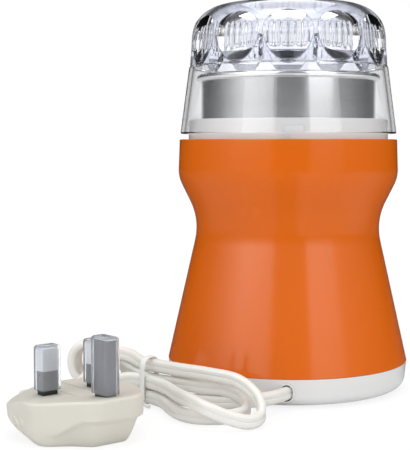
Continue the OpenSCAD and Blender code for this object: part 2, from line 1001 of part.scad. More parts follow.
module switch_terminals() {
    color("goldenrod")
        for (s = [-1, 1])
            translate([s * terminal_x, -foot_y, terminal_z + terminal_l / 2])
                cube([0.8, 3, terminal_l], center = true);
}

module switch_screws() {
    color("silver")
        for (s = [-1, 1]) {
            translate([s * switch_screw_x, -switch_plate_y, deck_z - switch_plate_t])
                screw(switch_plate_t + deck_t - 0.5, small_screw_r, 2, 1.6);
            translate([s * switch_hole_x, -switch_back_y - switch_t, switch_hole_z])
                rotate([-90, 0, 0])
                    screw(switch_t + switch_plate_t, small_screw_r, 2, 1.6);
        }
}

// Swept tubes: a ring of points at each place on a route, closed by flat ends
function tangent_at(path, i, before, after) =
    let (next = i < len(path) - 1 ? path[i + 1] : is_undef(after) ? path[i] : after)
    let (last = i > 0 ? path[i - 1] : is_undef(before) ? path[i] : before)
    unit(next - last);
function tube_ring(p, along, up, w, t, sides) =
    let (side = unit(cross(along, up)), rise = cross(side, along))
    [
        for (k = [0 : sides - 1])
            let (a = 360 * k / sides)
            p + rise * (w / 2 * cos(a)) + side * (t / 2 * sin(a) / sin(90 - 180 / sides))
    ];

// Before and after are points of the neighbour that the tube runs on from and into
module swept_tube(path, ups, w, t, sides, before, after) {
    rings = len(path);
    points = [
        for (i = [0 : rings - 1])
            each tube_ring(path[i], tangent_at(path, i, before, after), ups[i], w, t, sides)
    ];
    last = (rings - 1) * sides;
    walls = [
        for (i = [0 : rings - 2], k = [0 : sides - 1])
            let (a = i * sides + k, b = i * sides + (k + 1) % sides)
            each [[a, b + sides, b], [a, a + sides, b + sides]]
    ];
    ends = [for (k = [1 : sides - 2]) each [[0, k, k + 1], [last, last + k + 1, last + k]]];
    polyhedron(points = points, faces = concat(walls, ends));
}

// A coil spring standing on z = 0, its wire wound in a helix
module coil_spring(r, wire_r, turns, length) {
    steps = 8 * turns;
    rise = length - 2 * wire_r;
    path = [
        for (i = [0 : steps])
            let (a = 360 * i / 8)
            [r * cos(a), r * sin(a), wire_r + rise * i / steps]
    ];
    swept_tube(path, [for (p = path) [0, 0, 1]], 2 * wire_r, 2 * wire_r, 6);
}

// The lead runs in through the outlet at a slant and is held by a clamp on the base
clamp_angle = -30;
clamp_x = 8;
clamp_inset = 15;
clamp_y = clamp_inset - base_r;
clamp_half_w = 8.6;
clamp_half_d = 3.5;
clamp_boss_x = 5.8;
clamp_boss_r = 2.4;
clamp_bar_t = 2.5;
clamp_bar_z = outlet_z + cord_w / 2;

module at_clamp() {
    translate([clamp_x, clamp_y, 0])
        rotate([0, 0, clamp_angle])
            children();
}

module clamp_base() {
    at_clamp() {
        block(
            [-clamp_half_w, -clamp_half_d, foot_h + 0.5],
            [clamp_half_w, clamp_half_d, outlet_z - cord_w / 2]
        );
        for (s = [-1, 1])
            translate([s * clamp_boss_x, 0, foot_h + 0.5])
                cylinder(r = clamp_boss_r, h = clamp_bar_z - foot_h - 0.5);
    }
}

module clamp_holes() {
    at_clamp()
        for (s = [-1, 1])
            translate([s * clamp_boss_x, 0, floor_top + 0.5])
                cylinder(r = small_screw_r + screw_fit, h = clamp_bar_z);
}

module cord_clamp() {
    color("ivory")
        at_clamp()
            difference() {
                block(
                    [-clamp_half_w, -clamp_half_d, clamp_bar_z],
                    [clamp_half_w, clamp_half_d, clamp_bar_z + clamp_bar_t]
                );
                for (s = [-1, 1])
                    translate([s * clamp_boss_x, 0, clamp_bar_z - 1])
                        cylinder(r = small_screw_r + screw_fit, h = clamp_bar_t + 2);
            }
}

module clamp_screws() {
    color("silver")
        at_clamp()
            for (s = [-1, 1])
                translate([s * clamp_boss_x, 0, clamp_bar_z + clamp_bar_t])
                    rotate([180, 0, 0])
                        screw(clamp_bar_t + 5, small_screw_r, 2, 1.6);
}

module cord_gland() {
    gland_grow = 2 * (gland_wall - screw_fit);
    color("whitesmoke")
        difference() {
            intersection() {
                translate([0, gland_y + 2, outlet_z])
                    oval_prism(outlet_w + gland_grow, outlet_h + gland_grow, 9);
                base_solid();
            }
            translate([0, gland_y + 5, outlet_z])
                oval_prism(outlet_w, outlet_h, outlet_run);
        }
}

// Plug lying on its back, pins up, with its cord end away from the earth pin
plug_spot = [-82, -94.3];
plug_angle = 44;
pin_pitch = 22.2;
line_pin_w = 6.35;
line_pin_t = 3.95;
earth_pin_w = 3.95;
earth_pin_d = 7.95;
pin_root_z = 6;
sleeve_l = 9.2;
neck_inset = 0.7;
neck_w = line_pin_w - 2 * neck_inset;
neck_t = line_pin_t - 2 * neck_inset;
plug_under = 5;
plug_corner = 10;
boot_start_y = 18;
boot_end_y = 29;
boot_root_w = 20;
boot_root_h = 13;
boot_wall_x = 2.5;
boot_wall_z = 1.5;
plug_outline = [
    [-11.5, -33.5], [11.5, -33.5], [plug_half_w, -9], [plug_half_w, 8],
    [16, boot_start_y], [-16, boot_start_y], [-plug_half_w, 8], [-plug_half_w, -9]
];

function plug_place(p) = [
    plug_spot.x + p.x * cos(plug_angle) - p.y * sin(plug_angle),
    plug_spot.y + p.x * sin(plug_angle) + p.y * cos(plug_angle),
    p.z
];

// Insulated wires inside the body, each along its own hand-laid route
wire_r = 0.9;
wire_routes = [
    [
        [clamp_x + 3.3, clamp_y + 5.8, outlet_z + 1.5], [clamp_x + 4.5, clamp_y + 7.6, 12],
        [14, -33, 25], [13, -34, 45], [10, -33, 62],
        [terminal_x, -foot_y, terminal_z - 3], [terminal_x, -foot_y, terminal_z]
    ],
    [
        [clamp_x + 3.3, clamp_y + 5.8, outlet_z - 1.5], [clamp_x + 1, clamp_y + 8.6, 10],
        [6, -30, 17], [2, -29.5, 24], [0, -holder_end - 2.5, brush_z], [0, -holder_end, brush_z]
    ],
    [
        [-terminal_x, -foot_y, terminal_z], [-terminal_x, -foot_y, terminal_z - 3], [-12, -33, 61],
        [-19, -34.5, 50], [-27, -31, 46], [-33, -22, 42], [-34, -6, 38], [-32, 10, 34], [-21, 20, 31],
        [-7, 28, brush_z], [0, holder_end + 2.5, brush_z], [0, holder_end, brush_z]
    ]
];

module inner_leads() {
    color("royalblue")
        for (route = wire_routes)
            swept_tube(route, [for (p = route) [0.36, 0.48, 0.8]], 2 * wire_r, 2 * wire_r, 6);
}

// Hank of mains lead: two loops tied at a waist. A turn angle of 90 starts at the waist going left,
// and each further 360 degrees is one loop. Right bights lie on the table, left bights stand up.
tie_spot = [-58, -48];
hank_heading = -33;
hank_turn = 48;
hank_bend = 14;
left_reach = 36;
right_reach = [46, 58];
waist_half = cord_t / 2 + 0.4;
left_open = 18;
right_open = 28;
right_shift = 12;
layer_step = cord_w + 0.5;
table_layer = cord_w / 2 + 0.2;
tie_layer = cord_w / 2 + 1.2;
left_lift = 6;
roll_start = 3;
roll_length = 24;
loop_rings = 24;
hank_loops = 2;

function hank_heading_at(u) = hank_heading - hank_turn / 2 * max(-1, min(1, u / hank_bend));
function hank_axis(u) =
    let (
        radius = 2 * hank_bend / (hank_turn * PI / 180),
        h = hank_heading_at(u),
        past = u - max(-hank_bend, min(hank_bend, u))
    )
    tie_spot + radius * [sin(hank_heading) - sin(h), cos(h) - cos(hank_heading)] + past * [cos(h), sin(h)];

// Height of the cord in the pile: down to the table, up along a back run, and so on
function hank_layer(a) =
    tie_layer + (table_layer - tie_layer) * smooth((a - 270) / 70)
    + (tie_layer + layer_step - table_layer) * smooth((a - 365) / 45)
    + (table_layer - tie_layer - layer_step) * smooth((a - 672) / 53)
    + (tie_layer + 2 * layer_step - table_layer) * smooth((a - 725) / 50);

// One place on the hank as [point, direction of the cord's width]
function hank_place(a) =
    let (
        right = cos(a) > 0,
        u = (right ? right_reach[a < 540 ? 0 : 1] : left_reach) * cos(a),
        open = right ? right_open : left_open,
        v = sin(a) * (waist_half + open * cos(a) * cos(a)) + (right ? right_shift * cos(a) * cos(a) : 0),
        roll = 90 * smooth((-u - roll_start) / roll_length),
        middle = tie_layer + layer_step,
        k = hank_layer(a) - middle,
        h = hank_heading_at(u),
        normal = [-sin(h), cos(h)],
        side = v * cos(roll) - k * sin(roll),
        z = middle + left_lift * smooth(-u / 30) + v * sin(roll) + k * cos(roll),
        spot = hank_axis(u) + side * normal
    )
    [[spot.x, spot.y, z], [-sin(roll) * normal.x, -sin(roll) * normal.y, cos(roll)]];

hank_angles = [for (i = [0 : loop_rings * hank_loops]) 90 + 360 * i / loop_rings];
hank_places = [for (a = hank_angles) hank_place(a)];
hank_path = [for (p = hank_places) p[0]];

module cord_hank() {
    color("ivory")
        swept_tube(
            hank_path, [for (p = hank_places) p[1]], cord_w, cord_t, 6,
            lead_route[len(lead_route) - 2], tail_route[1]
        );
}

// Free stretches of the lead: outlet to hank, and hank to plug
hank_start = hank_path[0];
hank_end = hank_path[len(hank_path) - 1];
lead_route = [
    [clamp_x + 3, clamp_y + 5.2, outlet_z], [clamp_x, clamp_y, outlet_z],
    [clamp_x / 2, outlet_y + 6.9, outlet_z], [0, outlet_y, outlet_z],
    [-2, outlet_y - 3.5, outlet_z], [-5.4, -60.8, 6.8],
    [-10.6, -63.4, 6.4], [-18, -63.8, 5.6], [-26, -62, 4.8],
    [-34, -59.4, 4.3], [-41.5, -56, tie_layer], [-48.5, -51.7, tie_layer], [-52.7, -49, tie_layer],
    hank_start
];
tail_route = [
    hank_end, [-61.9, -43, 17], [-67.5, -42.4, 20], [-72.6, -44, 21], [-77.5, -47, 18.4],
    [-82.6, -49.6, 13.4], [-88, -49.4, 8],
    [-92.4, -47.6, 5], [-97, -46.6, 3.4], [-102.8, -48.5, 3.3], [-107.6, -53.4, 3.4],
    [-109.4, -60, 4.4], [-108.3, -65.8, 6.2], [-105.6, -69.8, 7.6], plug_place([0, boot_end_y, plug_h / 2])
];

module cord_lead() {
    color("ivory")
        swept_tube(lead_route, [for (p = lead_route) [0, 0, 1]], cord_w, cord_t, 8, undef, hank_path[1]);
}

module cord_tail() {
    color("ivory")
        swept_tube(
            tail_route, [for (p = tail_route) [0, 0, 1]], cord_w, cord_t, 8, hank_path[len(hank_path) - 2]
        );
}

module cord_tie() {
    tie_w = 3;
    tie_t = 0.8;
    gap = 0.6;
    half = waist_half + cord_t / 2 + gap;
    low = tie_layer - cord_w / 2 - gap;
    high = tie_layer + 2 * layer_step + cord_w / 2 + gap;
    twist_r = 0.9;
    color("white")
        translate([tie_spot.x, tie_spot.y, 0])
            rotate([0, 0, hank_heading]) {
                difference() {
                    block(
                        [-tie_w / 2, -half - tie_t, low - tie_t],
                        [tie_w / 2, half + tie_t, high + tie_t]
                    );
                    block([-tie_w, -half, low], [tie_w, half, high]);
                }
                translate([0, -half - tie_t / 2, low + twist_r])
                    rotate([90, 0, 50])
                        cylinder(r = twist_r, h = 9);
            }
}

function rounded_loop(points, r) =
    let (n = len(points))
    [for (i = [0 : n - 1]) each round_corner(points[(i + n - 1) % n], points[i], points[(i + 1) % n], r)];

module at_plug() {
    translate([plug_spot.x, plug_spot.y, 0])
        rotate([0, 0, plug_angle])
            children();
}

module upright_bar(spot, w, d, z0, z1) {
    translate([spot.x, spot.y, (z0 + z1) / 2])
        cube([w, d, z1 - z0], center = true);
}

line_spots = [[-pin_pitch / 2, 0], [pin_pitch / 2, 0]];
earth_spot = [0, -pin_pitch];
carrier_half_w = 4.5;
carrier_start_y = -13.5;
carrier_end_y = 14.5;
carrier_z = 6.4;
fuse_r = 3.15;
fuse_l = 25.4;
fuse_z = 11;

module plug_body() {
    shape = rounded_loop(plug_outline, plug_corner);
    inset = 0.84;
    color("ivory")
        at_plug()
            difference() {
                union() {
                    translate([0, 0, plug_under])
                        linear_extrude(plug_h - plug_under)
                            polygon(shape);
                    hull() {
                        translate([0, 0, plug_under])
                            linear_extrude(0.5)
                                polygon(shape);
                        linear_extrude(0.5)
                            scale(inset)
                                polygon(shape);
                    }
                }
                for (p = line_spots)
                    upright_bar(
                        p, neck_w + 2 * screw_fit, neck_t + 2 * screw_fit, pin_root_z, plug_h + 1
                    );
                upright_bar(
                    earth_spot, earth_pin_w + 2 * screw_fit, earth_pin_d + 2 * screw_fit,
                    pin_root_z, plug_h + 1
                );
                block(
                    [-carrier_half_w - side_gap, carrier_start_y - side_gap, carrier_z],
                    [carrier_half_w + side_gap, carrier_end_y + side_gap, plug_h + 1]
                );
            }
}

module plug_boot() {
    ribs = 4;
    root = [boot_root_w, boot_root_h];
    tip = [cord_t + 2 * boot_wall_x, cord_w + 2 * boot_wall_z];
    length = boot_end_y - boot_start_y;
    color("ivory")
        at_plug()
            translate([0, boot_start_y, plug_h / 2]) {
                hull() {
                    translate([0, 0.5, 0])
                        cube([root.x - 2, 1, root.y - 2], center = true);
                    translate([0, length - 0.5, 0])
                        cube([tip.x - 2, 1, tip.y - 2], center = true);
                }
                for (i = [0 : ribs - 1])
                    let (s = i / (ribs - 1), size = lerp(root, tip, s))
                    translate([0, lerp(1, length - 1, s), 0])
                        cube([size.x, 1.6, size.y], center = true);
            }
}

module line_pins() {
    color("gold")
        at_plug()
            for (p = line_spots) {
                upright_bar(
                    p, neck_w, neck_t, pin_root_z, plug_h + sleeve_l + 1
                );
                upright_bar(p, line_pin_w, line_pin_t, plug_h + sleeve_l, plug_h + line_pin_l);
            }
}

module pin_sleeves() {
    color("black")
        at_plug()
            for (p = line_spots)
                difference() {
                    upright_bar(p, line_pin_w, line_pin_t, plug_h, plug_h + sleeve_l);
                    upright_bar(
                        p, neck_w + 2 * screw_fit, neck_t + 2 * screw_fit, plug_h - 1, plug_h + sleeve_l + 1
                    );
                }
}

module earth_pin() {
    color("black")
        at_plug()
            upright_bar(earth_spot, earth_pin_w, earth_pin_d, pin_root_z, plug_h + earth_pin_l);
}

module fuse_carrier() {
    middle_y = (carrier_start_y + carrier_end_y) / 2;
    color("ivory")
        at_plug()
            difference() {
                block(
                    [-carrier_half_w, carrier_start_y, carrier_z + 0.1],
                    [carrier_half_w, carrier_end_y, plug_h]
                );
                translate([0, middle_y - fuse_l / 2 - screw_fit, fuse_z])
                    rotate([-90, 0, 0])
                        cylinder(r = fuse_r + screw_fit, h = fuse_l + 2 * screw_fit);
            }
}

module fuse() {
    middle_y = (carrier_start_y + carrier_end_y) / 2;
    color("silver")
        at_plug()
            translate([0, middle_y - fuse_l / 2, fuse_z])
                rotate([-90, 0, 0])
                    cylinder(r = fuse_r, h = fuse_l);
}

// Clear caps pushed over the pins
cap_lift = 1.2;

module pin_cap(spot, w, d, pin_l) {
    inner_w = w + 2 * side_gap;
    inner_d = d + 2 * side_gap;
    roof = plug_h + pin_l + side_gap;
    color("gainsboro", 0.5)
        at_plug()
            difference() {
                upright_bar(
                    spot, inner_w + 2 * cap_wall, inner_d + 2 * cap_wall, plug_h + cap_lift, roof + cap_wall
                );
                upright_bar(spot, inner_w, inner_d, plug_h, roof);
            }
}

module live_cap() {
    pin_cap(line_spots[0], line_pin_w, line_pin_t, line_pin_l);
}

module neutral_cap() {
    pin_cap(line_spots[1], line_pin_w, line_pin_t, line_pin_l);
}

module earth_cap() {
    pin_cap(earth_spot, earth_pin_w, earth_pin_d, earth_pin_l);
}

base_cover();
feet();
base_screws();
body_shell();
collar_frame();
grinding_cup();
cup_gasket();
hub_bush();
hub_nut();
shaft_seal();
lid();
upper_bracket();
lower_bracket();
upper_bush();
lower_bush();
rubber_mounts();
mount_screws();
stator_core();
field_coils();
motor_bolts();
motor_nuts();
brush_holders();
carbon_brushes();
brush_springs();
motor_shaft();
armature_core();
armature_windings();
commutator();
cooling_fan();
blade();
blade_nut();
blade_washer();
switch_plunger();
plunger_spring();
guide_pin();
spring_clip();
switch_bracket();
microswitch();
switch_button();
switch_terminals();
switch_screws();
inner_leads();
cord_gland();
cord_clamp();
clamp_screws();
cord_lead();
cord_hank();
cord_tail();
cord_tie();
plug_body();
plug_boot();
line_pins();
pin_sleeves();
earth_pin();
fuse_carrier();
fuse();
live_cap();
neutral_cap();
earth_cap();
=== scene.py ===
"""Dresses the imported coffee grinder: glossy shell, clear lid, steel cup, hanked lead and mains plug."""
import logging
import math
from dataclasses import dataclass, field
from enum import Enum
from typing import Callable, Sequence, Union

import bmesh
import bpy
from mathutils import Matrix, Vector


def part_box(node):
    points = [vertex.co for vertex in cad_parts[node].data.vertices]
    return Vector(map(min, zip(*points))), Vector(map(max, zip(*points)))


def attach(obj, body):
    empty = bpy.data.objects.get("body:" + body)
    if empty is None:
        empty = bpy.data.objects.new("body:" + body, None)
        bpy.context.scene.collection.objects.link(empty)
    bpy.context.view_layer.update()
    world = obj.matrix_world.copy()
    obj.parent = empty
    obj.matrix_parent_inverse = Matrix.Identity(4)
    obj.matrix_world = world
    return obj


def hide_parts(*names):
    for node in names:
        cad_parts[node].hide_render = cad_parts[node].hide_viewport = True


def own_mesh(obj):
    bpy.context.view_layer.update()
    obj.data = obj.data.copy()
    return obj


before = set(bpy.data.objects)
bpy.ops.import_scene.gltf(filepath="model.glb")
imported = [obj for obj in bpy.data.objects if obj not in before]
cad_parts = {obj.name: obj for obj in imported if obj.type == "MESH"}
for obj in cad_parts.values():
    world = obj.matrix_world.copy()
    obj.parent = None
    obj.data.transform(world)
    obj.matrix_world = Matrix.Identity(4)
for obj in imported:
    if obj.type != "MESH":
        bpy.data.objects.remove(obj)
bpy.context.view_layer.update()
LOG = logging.getLogger("grinder")
MM = 0.001
CIRCLE = 2 * math.pi
UP = (0.0, 0.0, 1.0)
TURN_MERGE = 1e-7
THIN_EDGE = 1e-8
CUT_MERGE = 2e-6
LEVEL_EDGE = 1e-6

Colour = tuple[float, float, float]
Point = tuple[float, float, float]
Span = tuple[float, float]
Mesh = bmesh.types.BMesh
Socket = bpy.types.NodeSocket


class Body(str, Enum):
    """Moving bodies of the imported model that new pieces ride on."""

    HOUSING = "housing"
    LID = "lid"
    LIVE_CAP = "live_cap"
    NEUTRAL_CAP = "neutral_cap"
    EARTH_CAP = "earth_cap"


class Along(Enum):
    """Direction in which the streaks of a metal run."""

    X = 0
    Y = 1
    Z = 2
    ROUND = 3


def linear(red: int, green: int, blue: int) -> Colour:
    """Turns a display colour into a linear one, by the standard display curve.

    Args:
        red: Red from 0 to 255.
        green: Green from 0 to 255.
        blue: Blue from 0 to 255.

    Returns:
        The same colour as linear values from 0 to 1.
    """
    shares = (level / 255 for level in (red, green, blue))
    return tuple(v / 12.92 if v <= 0.04 else ((v + 0.055) / 1.055) ** 2.4 for v in shares)


class Value:
    """A shader value to reckon with, where each step adds a node."""

    def __init__(self, sheet: "NodeSheet", socket: Socket) -> None:
        """Keeps the sheet and the output socket."""
        self.sheet = sheet
        self.socket = socket

    def by(self, operation: str, *others: "Term") -> "Value":
        """Result of a maths operation on this value and others."""
        terms = {f"in_{index}": term for index, term in enumerate((self, *others))}
        return self.sheet.result("ShaderNodeMath", operation=operation, **terms)

    def __add__(self, other: "Term") -> "Value":
        """Sum of this value and another."""
        return self.by("ADD", other)

    def __sub__(self, other: "Term") -> "Value":
        """Difference between this value and another."""
        return self.by("SUBTRACT", other)

    def __rsub__(self, other: float) -> "Value":
        """What is left of a number when this value is taken away."""
        return self.sheet.result("ShaderNodeMath", operation="SUBTRACT", in_0=other, in_1=self)

    def __mul__(self, other: "Term") -> "Value":
        """Product of this value and another."""
        return self.by("MULTIPLY", other)

    def __truediv__(self, other: "Term") -> "Value":
        """This value divided by another."""
        return self.by("DIVIDE", other)

    def eased(self, low: Span, high: Span) -> "Value":
        """Maps this value smoothly from one range to another.

        Args:
            low: Start of the range and what it becomes.
            high: End of the range and what it becomes.

        Returns:
            The mapped value.
        """
        return self.sheet.result(
            "ShaderNodeMapRange", interpolation_type="SMOOTHSTEP", in_0=self, in_1=low[0], in_2=high[0],
            in_3=low[1], in_4=high[1],
        )

    def band(self, start: Span, end: Span) -> "Value":
        """Mask that rises from 0 to 1 over one range and falls again over a later one."""
        return self.eased((start[0], 0.0), (start[1], 1.0)) * self.eased((end[0], 1.0), (end[1], 0.0))


Term = Union[float, Value, Socket]


class NodeSheet:
    """The node tree of a material, group or world, with short calls for adding and linking nodes."""

    def __init__(self, tree: bpy.types.NodeTree) -> None:
        """Keeps the tree and empties it."""
        self.tree = tree
        tree.nodes.clear()

    def add(self, kind: str, **values: object) -> bpy.types.Node:
        """Adds a node, sets its properties, and sets or links its inputs.

        Args:
            kind: The node's type name.
            values: Properties, or inputs where in_ comes before a number or name.

        Returns:
            The new node.
        """
        node = self.tree.nodes.new(kind)
        for key, value in values.items():
            if not key.startswith("in_"):
                setattr(node, key, value)
                continue
            label = key[3:].replace("_", " ")
            self.put(node.inputs[int(label) if label.isdigit() else label], value)
        return node

    def put(self, target: Socket, term: object) -> None:
        """Gives an input socket its source, number or colour.

        Args:
            target: The input socket.
            term: A value or socket to link, or a plain number, vector or colour to set.
        """
        source = term.socket if isinstance(term, Value) else term
        if isinstance(source, Socket):
            self.tree.links.new(source, target)
        else:
            target.default_value = (*source, 1.0) if target.type == "RGBA" else source

    def result(self, kind: str, output: Union[int, str] = 0, **values: object) -> Value:
        """Adds a node and gives one of its outputs."""
        return Value(self, self.add(kind, **values).outputs[output])

    def values(self, kind: str, **values: object) -> dict[str, Value]:
        """Adds a node and gives all its outputs by name."""
        return {socket.name: Value(self, socket) for socket in self.add(kind, **values).outputs}

    def mix(self, share: Term, first: object, second: object) -> Value:
        """Mixes two colours, all first where the share is 0 and all second where it is 1."""
        return self.result("ShaderNodeMix", 2, data_type="RGBA", in_0=share, in_6=first, in_7=second)

    def noise(self, place: Term, scale: Term, detail: float, rough: float = 0.5) -> Value:
        """Noise from 0 to 1 at a place."""
        return self.result(
            "ShaderNodeTexNoise", "Fac", in_Vector=place, in_Scale=scale, in_Detail=detail, in_Roughness=rough
        )

    def place(self) -> Value:
        """Place on the surface in the object's own frame, in metres."""
        return self.result("ShaderNodeTexCoord", "Object")

    def parts(self, vector: Term) -> tuple[Value, ...]:
        """The three parts of a vector."""
        return tuple(self.values("ShaderNodeSeparateXYZ", in_0=vector).values())

    def polar(self) -> tuple[Value, Value, Value]:
        """Place on the surface as radius in metres, turn in radians and height in metres."""
        x, y, z = self.parts(self.place())
        return (x * x + y * y).by("SQRT"), y.by("ARCTAN2", x), z

    def bump(self, height: Term, depth: float, strength: float) -> Value:
        """Normal rippled by a height from 0 to 1, whose full depth is in metres."""
        values = {"in_Height": height, "in_Distance": depth, "in_Strength": strength}
        return self.result("ShaderNodeBump", "Normal", **values)

    def surface(self, **values: object) -> None:
        """Adds the Principled shader with its inputs, and the output that shows it."""
        shader = self.add("ShaderNodeBsdfPrincipled", **values)
        self.add("ShaderNodeOutputMaterial", in_Surface=shader.outputs["BSDF"])


Pattern = Callable[[NodeSheet, Value], tuple[Value, Value]]
GROUP_INPUTS = (
    ("Colour", "NodeSocketColor", (0.8, 0.8, 0.8, 1.0)), ("Drift", "NodeSocketFloat", 0.06),
    ("Gloss", "NodeSocketFloat", 0.3), ("Patch", "NodeSocketFloat", 0.1),
)
GROUP_OUTPUTS = (("Colour", "NodeSocketColor"), ("Gloss", "NodeSocketFloat"), ("Height", "NodeSocketFloat"))


def surface_group(name: str, extra: tuple[str, str, object], pattern: Pattern) -> bpy.types.NodeTree:
    """Makes a node group once that turns a pattern into colour, gloss and height.

    Args:
        name: Name of the group.
        extra: Name, kind and default of the input that the pattern needs.
        pattern: Gives the pattern's slow part and its fine part, from 0 to 1.

    Returns:
        The group's tree.
    """
    known = bpy.data.node_groups.get(name)
    if known:
        return known
    tree = bpy.data.node_groups.new(name, "ShaderNodeTree")
    for label, kind, default in (extra, *GROUP_INPUTS):
        tree.interface.new_socket(name=label, in_out="INPUT", socket_type=kind).default_value = default
    for label, kind in GROUP_OUTPUTS:
        tree.interface.new_socket(name=label, in_out="OUTPUT", socket_type=kind)
    sheet = NodeSheet(tree)
    given = sheet.values("NodeGroupInput")
    slow, fine = pattern(sheet, given[extra[0]])
    level = (slow - 0.5) * given["Drift"] + 1.0
    shade = sheet.result("ShaderNodeHueSaturation", "Color", in_Color=given["Colour"], in_Value=level)
    gloss = (fine - 0.5) * given["Patch"] + given["Gloss"]
    sheet.add("NodeGroupOutput", in_Colour=shade, in_Gloss=gloss, in_Height=fine)
    return tree


def skin_group() -> bpy.types.NodeTree:
    """Moulded skin: slow colour drift, fine pebbles and a patchy gloss.

    Returns:
        The group, whose extra input is the Grain of its pebbles.
    """

    def pattern(sheet: NodeSheet, grain: Value) -> tuple[Value, Value]:
        """Slow drift and fine pebbles."""
        place = sheet.place()
        return sheet.noise(place, scale=22.0, detail=3.0), sheet.noise(place, grain, detail=2.0, rough=0.45)

    return surface_group("moulded_skin", ("Grain", "NodeSocketFloat", 900.0), pattern)


def streak_group() -> bpy.types.NodeTree:
    """Drawn or brushed metal: fine streaks along one direction.

    Returns:
        The group, whose extra input is the stretched Place of the streaks.
    """

    def pattern(sheet: NodeSheet, place: Value) -> tuple[Value, Value]:
        """Fine streaks over broad ones.

        Args:
            sheet: The group's sheet.
            place: The stretched place.

        Returns:
            The same streaks for both parts.
        """
        fine = sheet.noise(place, scale=1.0, detail=4.0, rough=0.6)
        broad = sheet.noise(place, scale=0.13, detail=2.0)
        both = fine * 0.6 + broad * 0.4
        return both, both

    return surface_group("brushed_streaks", ("Place", "NodeSocketVector", (0.0, 0.0, 0.0)), pattern)


@dataclass(frozen=True)
class Finish:
    """A surface with a name and a colour, from which each kind of finish makes its material."""

    name: str
    colour: Colour

    def fill(self, sheet: NodeSheet) -> None:
        """Adds the nodes of the finish, which each kind does in its own way."""
        raise NotImplementedError

    def make(self) -> bpy.types.Material:
        """Builds the material.

        Returns:
            The finished material.
        """
        material = bpy.data.materials.new(self.name)
        material.use_nodes = True
        self.fill(NodeSheet(material.node_tree))
        return material


@dataclass(frozen=True)
class MouldedFinish(Finish):
    """Moulded plastic or rubber with a fine pebbled skin."""

    gloss: float = 0.3
    coat: float = 0.0
    coat_gloss: float = 0.03
    grain: float = 900.0
    depth: float = 0.00002
    drift: float = 0.06
    patch: float = 0.08
    soft: float = 0.0
    soft_spread: Colour = (1.0, 0.9, 0.75)
    soft_depth: float = 0.002

    def fill(self, sheet: NodeSheet) -> None:
        """Joins the moulded skin to the shader.

        Args:
            sheet: The material's sheet.
        """
        skin = sheet.values(
            "ShaderNodeGroup", node_tree=skin_group(), in_Colour=self.colour, in_Drift=self.drift,
            in_Grain=self.grain, in_Gloss=self.gloss, in_Patch=self.patch,
        )
        sheet.surface(
            in_Base_Color=skin["Colour"], in_Roughness=skin["Gloss"], in_Coat_Weight=self.coat,
            in_Coat_Roughness=self.coat_gloss, in_Subsurface_Weight=self.soft,
            in_Subsurface_Radius=self.soft_spread, in_Subsurface_Scale=self.soft_depth,
            in_Normal=sheet.bump(skin["Height"], self.depth, strength=0.5),
        )


@dataclass(frozen=True)
class MetalFinish(Finish):
    """Brushed, drawn or turned metal whose streaks run one way."""

    gloss: float = 0.28
    run: Along = Along.ROUND
    density: float = 2600.0
    stretch: float = 40.0
    depth: float = 0.00001
    drift: float = 0.25
    patch: float = 0.2

    def place(self, sheet: NodeSheet) -> Value:
        """Stretches the surface's place so that noise becomes streaks.

        Args:
            sheet: The material's sheet.

        Returns:
            The stretched vector.
        """
        if self.run is Along.ROUND:
            reach, turn, height = sheet.polar()
            across, up = reach * self.density, height * self.density
            return sheet.result("ShaderNodeCombineXYZ", in_0=across, in_1=turn * 2.0, in_2=up)
        scale = [self.density] * 3
        scale[self.run.value] = self.density / self.stretch
        return sheet.result("ShaderNodeMapping", in_Vector=sheet.place(), in_Scale=tuple(scale))

    def fill(self, sheet: NodeSheet) -> None:
        """Joins the streaks to the shader.

        Args:
            sheet: The material's sheet.
        """
        streaks = sheet.values(
            "ShaderNodeGroup", node_tree=streak_group(), in_Place=self.place(sheet), in_Colour=self.colour,
            in_Drift=self.drift, in_Gloss=self.gloss, in_Patch=self.patch,
        )
        sheet.surface(
            in_Base_Color=streaks["Colour"], in_Roughness=streaks["Gloss"], in_Metallic=1.0,
            in_Normal=sheet.bump(streaks["Height"], self.depth, strength=0.4),
        )


@dataclass(frozen=True)
class ClearFinish(Finish):
    """Clear or smoky plastic with faint flow marks."""

    gloss: float = 0.02
    bend: float = 1.5
    haze: float = 0.0
    ripple: float = 0.000004
    flow: float = 160.0
    drift: float = 0.02

    def tint(self, sheet: NodeSheet, plain: Value) -> Value:
        """Colour over the surface, plain here."""
        return plain

    def fill(self, sheet: NodeSheet) -> None:
        """Joins the flow marks and the tint to the shader.

        Args:
            sheet: The material's sheet.
        """
        skin = sheet.values(
            "ShaderNodeGroup", node_tree=skin_group(), in_Colour=self.colour, in_Drift=self.drift,
            in_Grain=self.flow, in_Gloss=self.gloss, in_Patch=self.gloss / 2,
        )
        sheet.surface(
            in_Base_Color=self.tint(sheet, skin["Colour"]), in_Roughness=skin["Gloss"],
            in_Transmission_Weight=1.0 - self.haze, in_IOR=self.bend,
            in_Normal=sheet.bump(skin["Height"], self.ripple, strength=1.0),
        )


@dataclass(frozen=True)
class Facets:
    """Ring of hollow thumb facets: their number and the leaning eggs that cut them."""

    count: int = 12
    near: Span = (41.0, 155.0)
    lean: float = 11.0
    axes: Span = (24.0, 28.0)

    def centre(self) -> Span:
        """Radius and height of an egg's centre, in millimetres."""
        turn = math.radians(self.lean)
        return self.near[0] + self.axes[0] * math.cos(turn), self.near[1] + self.axes[0] * math.sin(turn)


@dataclass(frozen=True)
class Flutes:
    """Round-ended ribs inside the lid's wall behind each facet, sizes in millimetres."""

    count: int = 6
    pitch: float = 30 / 7
    reach: float = 40.1
    ends: Span = (152.5, 161.0)
    half: float = 1.3
    depth: float = 0.6
    cuts: int = 13
    # Ranges of squared distance for the painted shade line at each flute's edge, and the radius inside which
    # it is painted.
    line: tuple[Span, Span] = ((0.8, 0.9), (1.08, 1.18))
    line_reach: float = 40.4


